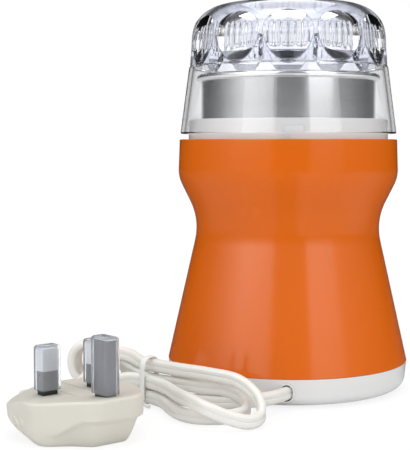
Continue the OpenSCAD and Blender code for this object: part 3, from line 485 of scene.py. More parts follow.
@dataclass(frozen=True)
class FacetedFinish(ClearFinish):
    """Clear plastic with painted shade in its colour: a fine dark rim round each facet, a dark foot inside it
    and dark lines along the flutes, where refraction darkens the view.

    The painted rim, its inner edge and the flutes' painted lines are ranges of the squared distance from an
    egg's or a flute's middle, where 1 is its surface.
    """

    facets: Facets = Facets()
    flutes: Flutes = Flutes()
    # Painted shade: dark tint of the lines along the flutes' edges.
    groove: Colour = (0.2, 0.21, 0.26)
    # Painted shade: dark tint of the fine rim round each facet, standing in for refraction at its crease.
    painted_rim_shade: Colour = (0.1, 0.11, 0.16)
    rim_line: tuple[Span, Span] = ((1.003, 1.006), (1.013, 1.02))
    facet_edge: Span = (1.002, 1.004)
    # Painted shade: dark tint on the lower part of each facet, where the dark cup shows through by
    # refraction.
    foot: Colour = (0.12, 0.125, 0.16)
    painted_shade_top: Span = (149.8, 150.2)
    thick: Colour = (0.89, 0.912, 0.99)
    thick_from: Span = (145.5, 146.0)

    def flute_lines(self, share: Value, reach: Value, height: Value) -> Value:
        """Thin line of painted shade along the edge of each flute on the inner wall.

        Args:
            share: Place across one facet, from -0.5 to 0.5.
            reach: Radius in metres.
            height: Height in metres.

        Returns:
            A mask.
        """
        flutes = self.flutes
        low, high = flutes.ends
        step = share * (360 / self.facets.count / flutes.pitch)
        halves = math.radians(flutes.pitch) * flutes.reach / flutes.half
        side = (step.by("FRACT") - 0.5) * halves
        past = (low * MM - height).by("MAXIMUM", height - high * MM).by("MAXIMUM", 0.0) / (flutes.half * MM)
        inside = reach.by("LESS_THAN", flutes.line_reach * MM)
        behind = step.by("ABSOLUTE").by("LESS_THAN", flutes.count / 2)
        return (side * side + past * past).band(*flutes.line) * (inside * behind)

    def egg(self, share: Value, reach: Value, height: Value) -> Value:
        """Squared distance from the middle of the nearest facet's egg, 1 on its surface.

        Args:
            share: Place across one facet, from -0.5 to 0.5.
            reach: Radius in metres.
            height: Height in metres.

        Returns:
            The squared distance.
        """
        lean = math.radians(self.facets.lean)
        far, high = self.facets.centre()
        wide, tall = self.facets.axes
        angle = share * (CIRCLE / self.facets.count)
        out = reach * angle.by("COSINE") - far * MM
        side = reach * angle.by("SINE")
        rise = height - high * MM
        along = out * math.cos(lean) + rise * math.sin(lean)
        up = out * -math.sin(lean) + rise * math.cos(lean)
        shares = (along / (wide * MM), side / (wide * MM), up / (tall * MM))
        first, second, third = (share.by("POWER", 2.0) for share in shares)
        return first + second + third

    def tint(self, sheet: NodeSheet, plain: Value) -> Value:
        """Colour with painted shade: the dark rim of each facet, the dark foot inside it and dark lines at
        the flutes' edges.

        Args:
            sheet: The material's sheet.
            plain: The clear colour.

        Returns:
            The colour.
        """
        reach, turn, height = sheet.polar()
        share = (turn / CIRCLE * self.facets.count + 0.5).by("FRACT") - 0.5
        egg = self.egg(share, reach, height)
        on_facet = egg.eased((self.facet_edge[0], 1.0), (self.facet_edge[1], 0.0))
        # Mask of the painted shade on each facet's lower part.
        foot = height.eased((self.painted_shade_top[0] * MM, 1.0), (self.painted_shade_top[1] * MM, 0.0))
        upper = height.eased((self.thick_from[0] * MM, 0.0), (self.thick_from[1] * MM, 1.0))
        glass = sheet.mix(upper * (1.0 - on_facet), plain, self.thick)
        # Painted shade along the flutes' edges.
        glass = sheet.mix(self.flute_lines(share, reach, height), glass, self.groove)
        # Painted shade: dark foot inside each facet.
        glass = sheet.mix(on_facet * foot, glass, self.foot)
        # Painted shade: dark rim line round each facet.
        return sheet.mix(egg.band(*self.rim_line), glass, self.painted_rim_shade)


@dataclass(frozen=True)
class BandedFinish(Finish):
    """Stacked sheets or wound wire: thin even bands one above another."""

    groove: Colour
    bands: float = 1400.0
    gloss: Span = (0.3, 0.5)
    depth: float = 0.00012

    def fill(self, sheet: NodeSheet) -> None:
        """Joins the bands and their unevenness to the shader.

        Args:
            sheet: The material's sheet.
        """
        place = sheet.place()
        height = (sheet.parts(place)[2] * (self.bands * CIRCLE)).by("SINE") * 0.5 + 0.5
        noise = sheet.noise(place, scale=260.0, detail=3.0)
        low, high = self.gloss
        sheet.surface(
            in_Base_Color=sheet.mix(height * (noise + 0.5), self.groove, self.colour),
            in_Roughness=noise * (high - low) + low, in_Metallic=1.0,
            in_Normal=sheet.bump(height, self.depth, strength=0.6),
        )


MADE: dict[str, bpy.types.Material] = {}


def show(obj: bpy.types.Object, finish: Finish) -> None:
    """Gives an object one finish in all its slots.

    Args:
        obj: The object.
        finish: Its finish, made once.
    """
    if finish.name not in MADE:
        MADE[finish.name] = finish.make()
    obj.data.materials.clear()
    obj.data.materials.append(MADE[finish.name])


ORANGE = MouldedFinish(
    "orange_gloss", linear(219, 100, 1), gloss=0.17, coat=0.12, grain=700.0, depth=0.000006, patch=0.04
)
WHITE = MouldedFinish(
    "white_gloss", linear(226, 227, 226), gloss=0.22, coat=0.2, grain=800.0, depth=0.00001, drift=0.02
)
IVORY = MouldedFinish(
    "ivory_satin", linear(214, 211, 200), gloss=0.38, grain=1400.0, depth=0.00003, drift=0.04
)
LEAD = MouldedFinish("ivory_lead", linear(233, 232, 226), gloss=0.34, coat=0.1, depth=0.00003, drift=0.05)
TIE = MouldedFinish("white_tie", linear(236, 236, 234), gloss=0.4, grain=1500.0, drift=0.02)
BLACK = MouldedFinish("black_moulding", linear(26, 26, 28), gloss=0.38, grain=1200.0)
RUBBER = MouldedFinish("dark_rubber", linear(40, 40, 41), gloss=0.7, grain=1500.0, depth=0.00006)
NYLON = MouldedFinish("natural_nylon", linear(226, 220, 202), gloss=0.42, soft=0.1)
RED = MouldedFinish("red_nylon", linear(196, 40, 30), gloss=0.35)
WIRE = MouldedFinish("blue_wire", linear(60, 92, 160), gloss=0.4)
CERAMIC = MouldedFinish("fuse_ceramic", linear(215, 210, 198), gloss=0.2, coat=0.4)
CARBON = MouldedFinish("pressed_carbon", linear(28, 28, 29), gloss=0.6, grain=2200.0)
CLEAR = FacetedFinish("clear_lid", (0.965, 0.968, 0.98), gloss=0.0)
SMOKE = ClearFinish("smoky_cap", linear(238, 241, 246), gloss=0.05, bend=1.3, haze=0.15)
CUP = MetalFinish("cup_steel", (0.62, 0.625, 0.63), gloss=0.2, density=1800.0, drift=0.12, patch=0.08)
BLADE = MetalFinish("ground_steel", (0.64, 0.645, 0.65), gloss=0.24, run=Along.X)
SHAFT = MetalFinish("turned_steel", (0.58, 0.58, 0.6), gloss=0.22)
ZINC = MetalFinish("zinc_plate", (0.68, 0.68, 0.64), gloss=0.3, run=Along.Z, density=900.0)
PRESSED = MetalFinish("pressed_steel", (0.56, 0.58, 0.6), gloss=0.36, run=Along.Y, density=700.0)
BRASS = MetalFinish("bright_brass", linear(214, 180, 104), gloss=0.2, run=Along.Z, density=1500.0)
NICKEL = MetalFinish("nickel_plate", (0.9, 0.89, 0.86), gloss=0.45, run=Along.Z, density=1500.0)
BRONZE = MetalFinish("bronze_bush", linear(168, 120, 70), gloss=0.4)
COPPER = MetalFinish("turned_copper", linear(200, 130, 82), gloss=0.25)
STACK = BandedFinish("steel_laminations", (0.33, 0.34, 0.36), (0.1, 0.1, 0.11), bands=1100.0)
WOUND = BandedFinish("copper_winding", linear(190, 104, 48), linear(84, 36, 14), bands=1500.0)


def rounded(corners: Sequence[Point], step: float = 4.0) -> list[Span]:
    """Rounds the corners of a profile.

    Args:
        corners: Radius, height and round of each corner, in millimetres.
        step: Angle between points of a round, in degrees.

    Returns:
        Points of the profile as radius and height.
    """
    points: list[Span] = []
    for index, (radius, height, turn) in enumerate(corners):
        here = Vector((radius, height))
        if turn == 0 or index in (0, len(corners) - 1):
            points.append((radius, height))
            continue
        first = (Vector(corners[index - 1][:2]) - here).normalized()
        second = (Vector(corners[index + 1][:2]) - here).normalized()
        half = first.angle(second) / 2
        centre = here + (first + second).normalized() * turn / math.sin(half)
        start = (here + first * turn / math.tan(half) - centre).normalized()
        end = (here + second * turn / math.tan(half) - centre).normalized()
        swing = start.angle(end)
        count = max(3, math.ceil(math.degrees(swing) / step))
        for k in range(count + 1):
            share = k / count
            spoke = (start * math.sin(swing * (1 - share)) + end * math.sin(swing * share)) / math.sin(swing)
            points.append(tuple(centre + spoke * turn))
    return points


def lathe(profile: Sequence[Span], steps: int) -> Mesh:
    """Turns a closed profile round the upright axis.

    Args:
        profile: Radius and height of each point, in millimetres.
        steps: Number of steps round the axis.

    Returns:
        The turned mesh.
    """
    mesh = bmesh.new()
    points = [mesh.verts.new((radius * MM, 0.0, height * MM)) for radius, height in profile]
    edges = [mesh.edges.new(pair) for pair in zip(points, points[1:] + points[:1])]
    bmesh.ops.spin(
        mesh, geom=points + edges, cent=(0, 0, 0), axis=UP, angle=CIRCLE, steps=steps, use_merge=True
    )
    bmesh.ops.remove_doubles(mesh, verts=mesh.verts, dist=TURN_MERGE)
    bmesh.ops.dissolve_degenerate(mesh, edges=mesh.edges, dist=THIN_EDGE)
    return mesh


def box(low: Point, high: Point, soften: float = 0.0, steps: int = 2) -> Mesh:
    """Makes a box between two corners, with softened edges.

    Args:
        low: Lowest corner in millimetres.
        high: Highest corner in millimetres.
        soften: Width of the edge bevel in millimetres.
        steps: Segments of the bevel.

    Returns:
        The box.
    """
    mesh = bmesh.new()
    size = [(b - a) * MM for a, b in zip(low, high)]
    middle = [(a + b) / 2 * MM for a, b in zip(low, high)]
    place = Matrix.Translation(middle) @ Matrix.Diagonal((*size, 1.0))
    made = bmesh.ops.create_cube(mesh, size=1.0, matrix=place)
    if soften:
        edges = list({edge for vert in made["verts"] for edge in vert.link_edges})
        bmesh.ops.bevel(
            mesh, geom=edges, offset=soften * MM, segments=steps, profile=0.5, affect="EDGES", material=-1
        )
    return mesh


def lofted(rings: Sequence[Sequence[Point]]) -> Mesh:
    """Joins rings of points into a closed body.

    Args:
        rings: Points of each ring in millimetres, as many in each.

    Returns:
        The body.
    """
    mesh = bmesh.new()
    last: list[bmesh.types.BMEdge] = []
    for points in rings:
        ring = [mesh.verts.new(Vector(point) * MM) for point in points]
        edges = [mesh.edges.new(pair) for pair in zip(ring, ring[1:] + ring[:1])]
        if last:
            bmesh.ops.bridge_loops(mesh, edges=last + edges)
        else:
            bmesh.ops.contextual_create(mesh, geom=ring)
        last = edges
    bmesh.ops.contextual_create(mesh, geom=last)
    return mesh


def placed(mesh: Mesh, name: str) -> bpy.types.Object:
    """Turns a mesh into an object of the scene.

    Args:
        mesh: The mesh, freed here.
        name: Name of the object.

    Returns:
        The object.
    """
    bmesh.ops.recalc_face_normals(mesh, faces=mesh.faces)
    data = bpy.data.meshes.new(name)
    mesh.to_mesh(data)
    mesh.free()
    obj = bpy.data.objects.new(name, data)
    bpy.context.scene.collection.objects.link(obj)
    return obj


def keep(
    mesh: Mesh, name: str, finish: Finish, body: Body, nodes: Sequence[str], sharp: float
) -> bpy.types.Object:
    """Turns a finished mesh into a piece that rides on a body.

    Args:
        mesh: The mesh, freed here.
        name: Name of the piece.
        finish: Its finish.
        body: The body it rides on.
        nodes: Solids that it stands for.
        sharp: Angle from which an edge stays sharp, in degrees.

    Returns:
        The new object.
    """
    piece = placed(mesh, name)
    piece.data.shade_smooth()
    piece.data.set_sharp_from_angle(angle=math.radians(sharp))
    show(piece, finish)
    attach(piece, body.value)
    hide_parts(*nodes)
    LOG.info("%s: %d faces on %s", name, len(piece.data.polygons), body.value)
    return piece


def shaped(mesh: Mesh, tools: Sequence[tuple[str, Mesh]]) -> Mesh:
    """Cuts other meshes out of a mesh or joins them to it.

    Args:
        mesh: The mesh to work on, freed here.
        tools: Pairs of DIFFERENCE or UNION and a mesh, freed here.

    Returns:
        The finished mesh.
    """
    blank = placed(mesh, "blank")
    helpers = [blank]
    for operation, tool in tools:
        step = blank.modifiers.new("shape", "BOOLEAN")
        step.operation = operation
        step.solver = "EXACT"
        step.object = placed(tool, "tool")
        helpers.append(step.object)
    whole = bpy.data.meshes.new_from_object(blank.evaluated_get(bpy.context.evaluated_depsgraph_get()))
    result = bmesh.new()
    result.from_mesh(whole)
    for data in (whole, *(helper.data for helper in helpers)):
        bpy.data.meshes.remove(data)
    bmesh.ops.remove_doubles(result, verts=result.verts, dist=CUT_MERGE)
    return result


def ease(value: float, start: float, length: float) -> float:
    """Eases from 0 to 1 as a value runs from a start over a length."""
    share = max(0.0, min(1.0, (value - start) / length))
    return share * share * (3 - 2 * share)


def divided(line: Sequence[Vector], count: int) -> list[Vector]:
    """Divides a line evenly.

    Args:
        line: Points of the line.
        count: Number of parts.

    Returns:
        The start of each part.
    """
    total = sum((b - a).length for a, b in zip(line, line[1:]))
    points: list[Vector] = []
    walked = 0.0
    for a, b in zip(line, line[1:]):
        length = (b - a).length
        while len(points) < count and walked + length > total * len(points) / count:
            points.append(a.lerp(b, (total * len(points) / count - walked) / length))
        walked += length
    return points


def spline(points: Sequence[Vector], spacing: float, pieces: int = 24) -> list[Vector]:
    """Runs a smooth curve through points and divides it evenly.

    Args:
        points: Points that the curve passes.
        spacing: Distance between the points returned.
        pieces: Straight pieces from one given point to the next, before the division.

    Returns:
        Points on the curve, about evenly spaced.
    """

    def blend(p: Vector, q: Vector, start: float, end: float, now: float) -> Vector:
        """Point between two points at a time between their times."""
        return p * ((end - now) / (end - start)) + q * ((now - start) / (end - start))

    dense: list[Vector] = []
    ends = [points[0] * 2 - points[1], *points, points[-1] * 2 - points[-2]]
    for a, b, c, d in zip(ends, ends[1:], ends[2:], ends[3:]):
        t1 = (b - a).length ** 0.5
        t2 = t1 + (c - b).length ** 0.5
        t3 = t2 + (d - c).length ** 0.5
        for k in range(pieces):
            now = t1 + (t2 - t1) * k / pieces
            first = blend(a, b, 0.0, t1, now)
            second = blend(b, c, t1, t2, now)
            third = blend(c, d, t2, t3, now)
            early = blend(first, second, 0.0, t2, now)
            dense.append(blend(early, blend(second, third, t1, t3, now), t1, t2, now))
    dense.append(points[-1].copy())
    total = sum((b - a).length for a, b in zip(dense, dense[1:]))
    return [*divided(dense, max(2, round(total / spacing))), dense[-1]]


def stations(points: Sequence[Vector], ups: Sequence[Vector]) -> list[Matrix]:
    """Sets a frame at each point: local Z along the run, local X towards its up direction.

    Args:
        points: Points of the run.
        ups: Wanted direction of local X at each point.

    Returns:
        One matrix a point.
    """
    frames = []
    for index, point in enumerate(points):
        ahead = (points[min(index + 1, len(points) - 1)] - points[max(index - 1, 0)]).normalized()
        side = ahead.cross(ups[index]).normalized()
        turn = Matrix((side.cross(ahead), side, ahead)).transposed().to_4x4()
        frames.append(Matrix.Translation(point) @ turn)
    return frames


def oval(across: float, along: float, count: int) -> list[Span]:
    """Points of an oval section from its two half sizes."""
    turns = [CIRCLE * k / count for k in range(count)]
    return [(across * math.cos(turn), along * math.sin(turn)) for turn in turns]


def sweep(mesh: Mesh, profile: Sequence[Span], frames: Sequence[Matrix]) -> Mesh:
    """Draws a closed section along a run of frames.

    Args:
        mesh: The mesh to add the closed tube to.
        profile: Section points in millimetres, in the frames' local X and Y.
        frames: One matrix a station.

    Returns:
        The same mesh.
    """
    ring = [mesh.verts.new(frames[0] @ Vector((x * MM, y * MM, 0.0))) for x, y in profile]
    edges = [mesh.edges.new(pair) for pair in zip(ring, ring[1:] + ring[:1])]
    bmesh.ops.contextual_create(mesh, geom=ring)
    for last, here in zip(frames, frames[1:]):
        made = bmesh.ops.extrude_edge_only(mesh, edges=edges)["geom"]
        ring = [item for item in made if isinstance(item, bmesh.types.BMVert)]
        edges = [item for item in made if isinstance(item, bmesh.types.BMEdge)]
        bmesh.ops.transform(mesh, matrix=here @ last.inverted(), verts=ring)
    bmesh.ops.contextual_create(mesh, geom=edges)
    return mesh


def upright_place(spot: Span, angle: float) -> Matrix:
    """Transform to a spot on the table in millimetres, turned by an angle in degrees."""
    place = Matrix.Translation((spot[0] * MM, spot[1] * MM, 0.0))
    return place @ Matrix.Rotation(math.radians(angle), 4, "Z")


@dataclass
class MainsLead:
    """Flat twin lead from the outlet through a tied hank of two loops to the plug.

    Sizes are in millimetres. Turn angles run in degrees along the hank, from 90 at its start and 360 more
    for each loop. Each layer move has the turn angle at which it starts, and its length.
    """

    width: float = 5.8
    thickness: float = 3.4
    groove: float = 0.3
    core_steps: int = 8
    web: Point = (0.72, 0.44, 0.2)
    web_dip: float = 0.06
    spacing: float = 1.5
    outlet: Point = (0.0, -53.5, 7.0)
    tie_spot: Span = (-58.0, -48.0)
    heading: float = -33.0
    turn: float = 48.0
    bend: float = 14.0
    first_angle: float = 90.0
    second_loop: float = 540.0
    loops: int = 2
    loop_steps: int = 24
    left_reach: float = 36.0
    right_reach: Span = (46.0, 58.0)
    left_open: float = 18.0
    right_open: float = 28.0
    right_shift: float = 12.0
    left_lift: float = 6.0
    lift_length: float = 30.0
    roll_start: float = 3.0
    roll_length: float = 24.0
    run_gap: float = 0.4
    layer_gap: float = 0.5
    tie_gap: float = 1.2
    table_gap: float = 0.2
    layer_moves: tuple[Span, ...] = ((270.0, 70.0), (365.0, 45.0), (672.0, 53.0), (725.0, 50.0))
    lead_in: tuple[Point, ...] = (
        (11, -34.4, 7), (8, -39.6, 7), (4, -46.6, 7), (0, -53.5, 7), (-2, -57, 7), (-5.4, -60.8, 6.8),
        (-10.6, -63.4, 6.4), (-18, -63.8, 5.6), (-26, -62, 4.8), (-34, -59.4, 4.3), (-41.5, -56, 4.1),
        (-48.5, -51.7, 4.1), (-52.7, -49, 4.1),
    )
    tail: tuple[Point, ...] = (
        (-61.9, -43, 17), (-67.5, -42.4, 20), (-72.6, -44, 21), (-77.5, -47, 18.4), (-82.6, -49.6, 13.4),
        (-88, -49.4, 8), (-92.4, -47.6, 5), (-97, -46.6, 3.4), (-102.8, -48.5, 3.3), (-107.6, -53.4, 3.4),
        (-109.4, -60, 4.4), (-108.3, -65.8, 6.2), (-105.6, -69.8, 7.6), (-102.1452, -73.4391, 8.0),
    )
    length: float = field(default=0.0, init=False)

    @property
    def waist_half(self) -> float:
        """Half of the gap between the two runs at the tie."""
        return self.thickness / 2 + self.run_gap

    @property
    def layer_step(self) -> float:
        """Height from one layer of the hank to the next."""
        return self.width + self.layer_gap

    @property
    def tie_layer(self) -> float:
        """Height of the lowest layer under the tie."""
        return self.width / 2 + self.tie_gap

    def heading_at(self, reach: float) -> float:
        """Heading of the hank's line at a distance from the tie, in radians."""
        return math.radians(self.heading - self.turn / 2 * max(-1.0, min(1.0, reach / self.bend)))

    def line_at(self, reach: float) -> Vector:
        """Point of the hank's middle line at a distance from the tie.

        Args:
            reach: Distance along the line, negative to the left.

        Returns:
            The point on the table, in millimetres.
        """
        radius = 2 * self.bend / math.radians(self.turn)
        here, start = self.heading_at(reach), self.heading_at(0.0)
        past = reach - max(-self.bend, min(self.bend, reach))
        arc = Vector((math.sin(start) - math.sin(here), math.cos(here) - math.cos(start))) * radius
        return Vector(self.tie_spot) + arc + Vector((math.cos(here), math.sin(here))) * past

    def layer_at(self, angle: float) -> float:
        """Height of the lead in the pile at a turn angle.

        Args:
            angle: Turn angle in degrees.

        Returns:
            The height in millimetres.
        """
        low, tie, step = self.width / 2 + self.table_gap, self.tie_layer, self.layer_step
        levels = (tie, low, tie + step, low, tie + 2 * step)
        height = tie
        for move, last, here in zip(self.layer_moves, levels, levels[1:]):
            height += (here - last) * ease(angle, *move)
        return height

    def place(self, angle: float) -> tuple[Vector, Vector]:
        """One place on the hank.

        Args:
            angle: Turn angle in degrees.

        Returns:
            The point in millimetres and the direction of the lead's width.
        """
        wave, rise = math.cos(math.radians(angle)), math.sin(math.radians(angle))
        reach, opening, shift = self.left_reach, self.left_open, 0.0
        if wave > 0:
            reach = self.right_reach[0 if angle < self.second_loop else 1]
            opening, shift = self.right_open, self.right_shift
        reach *= wave
        across = rise * (self.waist_half + opening * wave * wave) + shift * wave * wave
        roll = math.radians(90 * ease(-reach, self.roll_start, self.roll_length))
        middle = self.tie_layer + self.layer_step
        above = self.layer_at(angle) - middle
        here = self.heading_at(reach)
        normal = Vector((-math.sin(here), math.cos(here)))
        spot = self.line_at(reach) + normal * (across * math.cos(roll) - above * math.sin(roll))
        height = middle + self.left_lift * ease(-reach, 0.0, self.lift_length)
        height += across * math.sin(roll) + above * math.cos(roll)
        tilt = normal * -math.sin(roll)
        return Vector((*spot, height)), Vector((*tilt, math.cos(roll)))

    def route(self) -> tuple[list[Vector], list[Vector]]:
        """Whole route from the clamp inside to the plug.

        Returns:
            Points and width directions, in metres.
        """
        steps = range(self.loops * self.loop_steps + 1)
        loops = [self.place(self.first_angle + 360 * k / self.loop_steps) for k in steps]
        lead_in = [(Vector(point), Vector(UP)) for point in self.lead_in]
        tail = [(Vector(point), Vector(UP)) for point in self.tail]
        run = [*lead_in, *loops, *tail]
        return [point * MM for point, _ in run], [up for _, up in run]

    def section(self) -> list[Span]:
        """Section of the flat lead, two joined cores with a groove between them.

        Returns:
            Points in millimetres, width first.
        """
        core = self.thickness / 2
        straight = self.width / 2 - core
        turns = [math.pi / 2 * k / self.core_steps for k in range(self.core_steps + 1)]
        half = [(straight + core * math.cos(turn), core * math.sin(turn)) for turn in turns]
        half += [(straight * share, core * (1 - self.web_dip * (1 - share))) for share in self.web]
        half.append((0.0, core - self.groove))
        top = half + [(-x, y) for x, y in reversed(half[:-1])]
        return top + [(x, -y) for x, y in reversed(top[1:-1])]

    def widths(self, points: Sequence[Vector], ups: Sequence[Vector], count: int) -> list[Vector]:
        """Directions of the lead's width at even distances along its route.

        Args:
            points: Points of the route.
            ups: Width direction at each of them.
            count: Number of directions wanted.

        Returns:
            The directions.
        """
        marks = [0.0]
        for a, b in zip(points, points[1:]):
            marks.append(marks[-1] + (b - a).length)
        made, k = [], 0
        for index in range(count):
            walked = marks[-1] * index / (count - 1)
            while k < len(marks) - 2 and marks[k + 1] < walked:
                k += 1
            share = min(1.0, max(0.0, (walked - marks[k]) / (marks[k + 1] - marks[k])))
            made.append(ups[k].lerp(ups[k + 1], share))
        return made

    def build(self) -> tuple[bpy.types.Object, list[Vector]]:
        """Sweeps the lead along its route.

        Returns:
            The piece and its centreline.
        """
        points, ups = self.route()
        line = spline(points, self.spacing * MM)
        self.length = sum((b - a).length for a, b in zip(line, line[1:]))
        mesh = sweep(bmesh.new(), self.section(), stations(line, self.widths(points, ups, len(line))))
        nodes = ("cord_lead", "cord_hank", "cord_tail")
        piece = keep(mesh, "mains_lead", LEAD, Body.HOUSING, nodes, sharp=60.0)
        return piece, line


@dataclass
class TwistTie:
    """Thin white tie round the waist of the hank, its ends twisted together, sizes in millimetres."""

    spot: Span = MainsLead.tie_spot
    heading: float = MainsLead.heading
    half: float = 4.7
    heights: Span = (0.95, 20.5)
    corner: float = 3.6
    corner_steps: int = 6
    strip: Span = (1.3, 0.5)
    strip_points: int = 12
    spacing: float = 0.8
    ends: tuple[Point, ...] = (
        (0.0, -4.7, 1.85), (0.6, -5.2, 2.2), (2.6, -6.6, 1.7), (4.8, -7.6, 1.5), (7.0, -8.0, 1.5),
    )
    ends_spacing: float = 0.5
    strand: float = 0.42
    strand_points: int = 8
    strand_reach: float = 0.45
    twist: float = 1.1

    def band(self) -> list[Vector]:
        """Middle line of the band, a rounded upright loop across the hank.

        Returns:
            Points in the hank's own frame, in millimetres.
        """
        turn, side = self.corner, self.half - self.corner
        low, high = self.heights[0] + turn, self.heights[1] - turn
        points = []
        for y, z, start in ((side, low, -90), (side, high, 0), (-side, high, 90), (-side, low, 180)):
            for k in range(self.corner_steps + 1):
                angle = math.radians(start + 90 * k / self.corner_steps)
                points.append(Vector((0.0, y + turn * math.cos(angle), z + turn * math.sin(angle))))
        return points

    def build(self) -> bpy.types.Object:
        """Sweeps the band and its twisted ends.

        Returns:
            The piece.
        """
        place = upright_place(self.spot, self.heading)
        loop = [place @ (point * MM) for point in self.band()]
        line = spline([*loop, loop[0]], self.spacing * MM)
        axis = place.to_3x3() @ Vector((1.0, 0.0, 0.0))
        strip = oval(*self.strip, self.strip_points)
        strand = oval(self.strand, self.strand, self.strand_points)
        mesh = sweep(bmesh.new(), strip, stations(line, [axis] * len(line)))
        tail = spline([place @ (Vector(point) * MM) for point in self.ends], self.ends_spacing * MM)
        for phase in (0.0, math.pi):
            wound = []
            for k, point in enumerate(tail):
                spin = phase + self.twist * k
                wound.append(point + Vector((0.0, math.cos(spin), math.sin(spin))) * self.strand_reach * MM)
            sweep(mesh, strand, stations(wound, [Vector(UP)] * len(wound)))
        return keep(mesh, "twist_tie", TIE, Body.HOUSING, ("cord_tie",), sharp=50.0)


@dataclass
class ClearLid:
    """Clear press-down lid with a flared skirt and twelve hollow thumb facets under a round top.

    Sizes are in millimetres: the skirt's edge radius, foot and ledge height, the radii of the step above
    it, the top's radius, shoulder, crown height and round, and the inside's radius, roof and round.
    """

    skirt: Point = (48.9, 115.2, 145.2)
    step: Span = (45.0, 44.5)
    top: tuple[float, float, float, float] = (44.0, 172.4, 173.3, 16.0)
    inner: Point = (40.1, 170.6, 14.0)
    wall: float = 2.0
    soft: float = 0.2
    edge_rounds: Span = (0.3, 0.4)
    ledge_drop: float = 0.3
    ledge_rise: float = 0.1
    ledge_rounds: Span = (0.1, 0.15)
    inner_rounds: Span = (0.6, 0.5)
    arc_step: float = 3.0
    around: int = 144
    rows: int = 20
    row_gap: float = 0.3
    facets: Facets = CLEAR.facets
    flutes: Flutes = CLEAR.flutes
    flute_margin: float = 1.0
    egg_steps: tuple[int, int] = (64, 44)
    lug: tuple[Point, Point] = ((-1.9, -47.7, 115.25), (6.7, -45.6, 118.2))
    lug_round: float = 0.3
    tongue: tuple[Point, Point] = ((-1.5, -46.9, 107.6), (1.5, -45.62, 118.1))
    tongue_round: float = 0.25

    def profile(self) -> list[Span]:
        """Section of the lid from its edge over the top and back inside.

        Returns:
            Points as radius and height in millimetres.
        """
        (edge, low, ledge), (inside, roof, turn) = self.skirt, self.inner
        (foot, neck), (shoulder, high, crown, dome) = self.step, self.top
        wall, soft = self.wall, self.soft
        (inner_edge, outer_edge), (ledge_round, neck_round) = self.edge_rounds, self.ledge_rounds
        start = (edge - wall, low + 2 * soft, 0)
        outer = rounded([
            start, (edge - wall + soft, low, inner_edge), (edge - soft, low, outer_edge),
            (edge, low + 3 * soft, 0), (foot, ledge - self.ledge_drop, 0), (foot - soft, ledge, ledge_round),
            (neck, ledge + self.ledge_rise, neck_round), (shoulder, high, dome), (0.0, crown, 0),
        ], self.arc_step)
        rows = [(inside, roof - turn - 2 * soft - self.row_gap * k, 0) for k in range(self.rows)]
        hollow = rounded([
            (0.0, roof, 0), (inside, roof, turn), *rows, (inside, ledge, self.inner_rounds[0]),
            (foot - wall, ledge - 2 * soft, self.inner_rounds[1]), start,
        ], self.arc_step)
        return outer + hollow[:-1]

    def scoops(self, first: int) -> Mesh:
        """Every second facet cutter, an upright egg that leans with the lid.

        Args:
            first: Number of the first facet.

        Returns:
            The cutters in one mesh.
        """
        mesh = bmesh.new()
        facets = self.facets
        wide, tall = (axis * MM for axis in facets.axes)
        far, high = (part * MM for part in facets.centre())
        lean = Matrix.Rotation(-math.radians(facets.lean), 4, "Y")
        egg = Matrix.Translation((far, 0.0, high)) @ lean @ Matrix.Diagonal((wide, wide, tall, 1.0))
        around, up = self.egg_steps
        for number in range(first, facets.count, 2):
            place = Matrix.Rotation(math.radians(-90 + 360 / facets.count * number), 4, "Z") @ egg
            bmesh.ops.create_uvsphere(mesh, u_segments=around, v_segments=up, radius=1.0, matrix=place)
        return mesh

    def flute(self, turn: float, height: float) -> float:
        """Depth of the round-ended flutes behind the facets at a place on the inner wall.

        Args:
            turn: Direction from the axis in degrees.
            height: Height in millimetres.

        Returns:
            How far the wall stands in, in millimetres.
        """
        flutes, cell = self.flutes, 360 / self.facets.count
        across = (turn + cell / 2) % cell - cell / 2
        middle = math.floor(across / flutes.pitch) + 0.5
        if abs(middle) > flutes.count / 2:
            return 0.0
        side = math.radians(across - middle * flutes.pitch) * flutes.reach
        past = max(0.0, flutes.ends[0] - height, height - flutes.ends[1])
        away = math.hypot(side, past) / flutes.half
        return flutes.depth * math.sqrt(max(0.0, 1 - away ** 2))

    def on_wall(self, vert: bmesh.types.BMVert) -> bool:
        """Whether a vertex lies on the inner wall where the flutes are.

        Args:
            vert: The vertex.

        Returns:
            True on the wall, with a margin above and below the flutes.
        """
        low, high = self.flutes.ends
        past = self.flutes.half + self.flute_margin
        near = vert.co.xy.length / MM < self.flutes.reach + self.soft
        return near and low - past < vert.co.z / MM < high + past

    def add_flutes(self, mesh: Mesh) -> None:
        """Divides the inner wall and raises the flutes on it.

        Args:
            mesh: The lid with its facets.
        """
        edges = [edge for edge in mesh.edges if all(map(self.on_wall, edge.verts))]
        level = [edge for edge in edges if abs(edge.verts[0].co.z - edge.verts[1].co.z) < LEVEL_EDGE]
        bmesh.ops.subdivide_edges(mesh, edges=level, cuts=self.flutes.cuts)
        for vert in filter(self.on_wall, mesh.verts):
            turn = math.degrees(math.atan2(vert.co.y, vert.co.x))
            vert.co.xy *= 1 - self.flute(turn, vert.co.z / MM) * MM / vert.co.xy.length

    def build(self) -> bpy.types.Object:
        """Turns the lid, cuts the facets, joins lug and tongue and adds the flutes.

        Returns:
            The piece.
        """
        mesh = shaped(lathe(self.profile(), self.around), [
            ("DIFFERENCE", self.scoops(0)), ("DIFFERENCE", self.scoops(1)),
            ("UNION", box(*self.lug, self.lug_round)), ("UNION", box(*self.tongue, self.tongue_round)),
        ])
        self.add_flutes(mesh)
        piece = keep(mesh, "clear_lid", CLEAR, Body.LID, ("lid",), sharp=14.0)
        piece.visible_shadow = False
        return piece


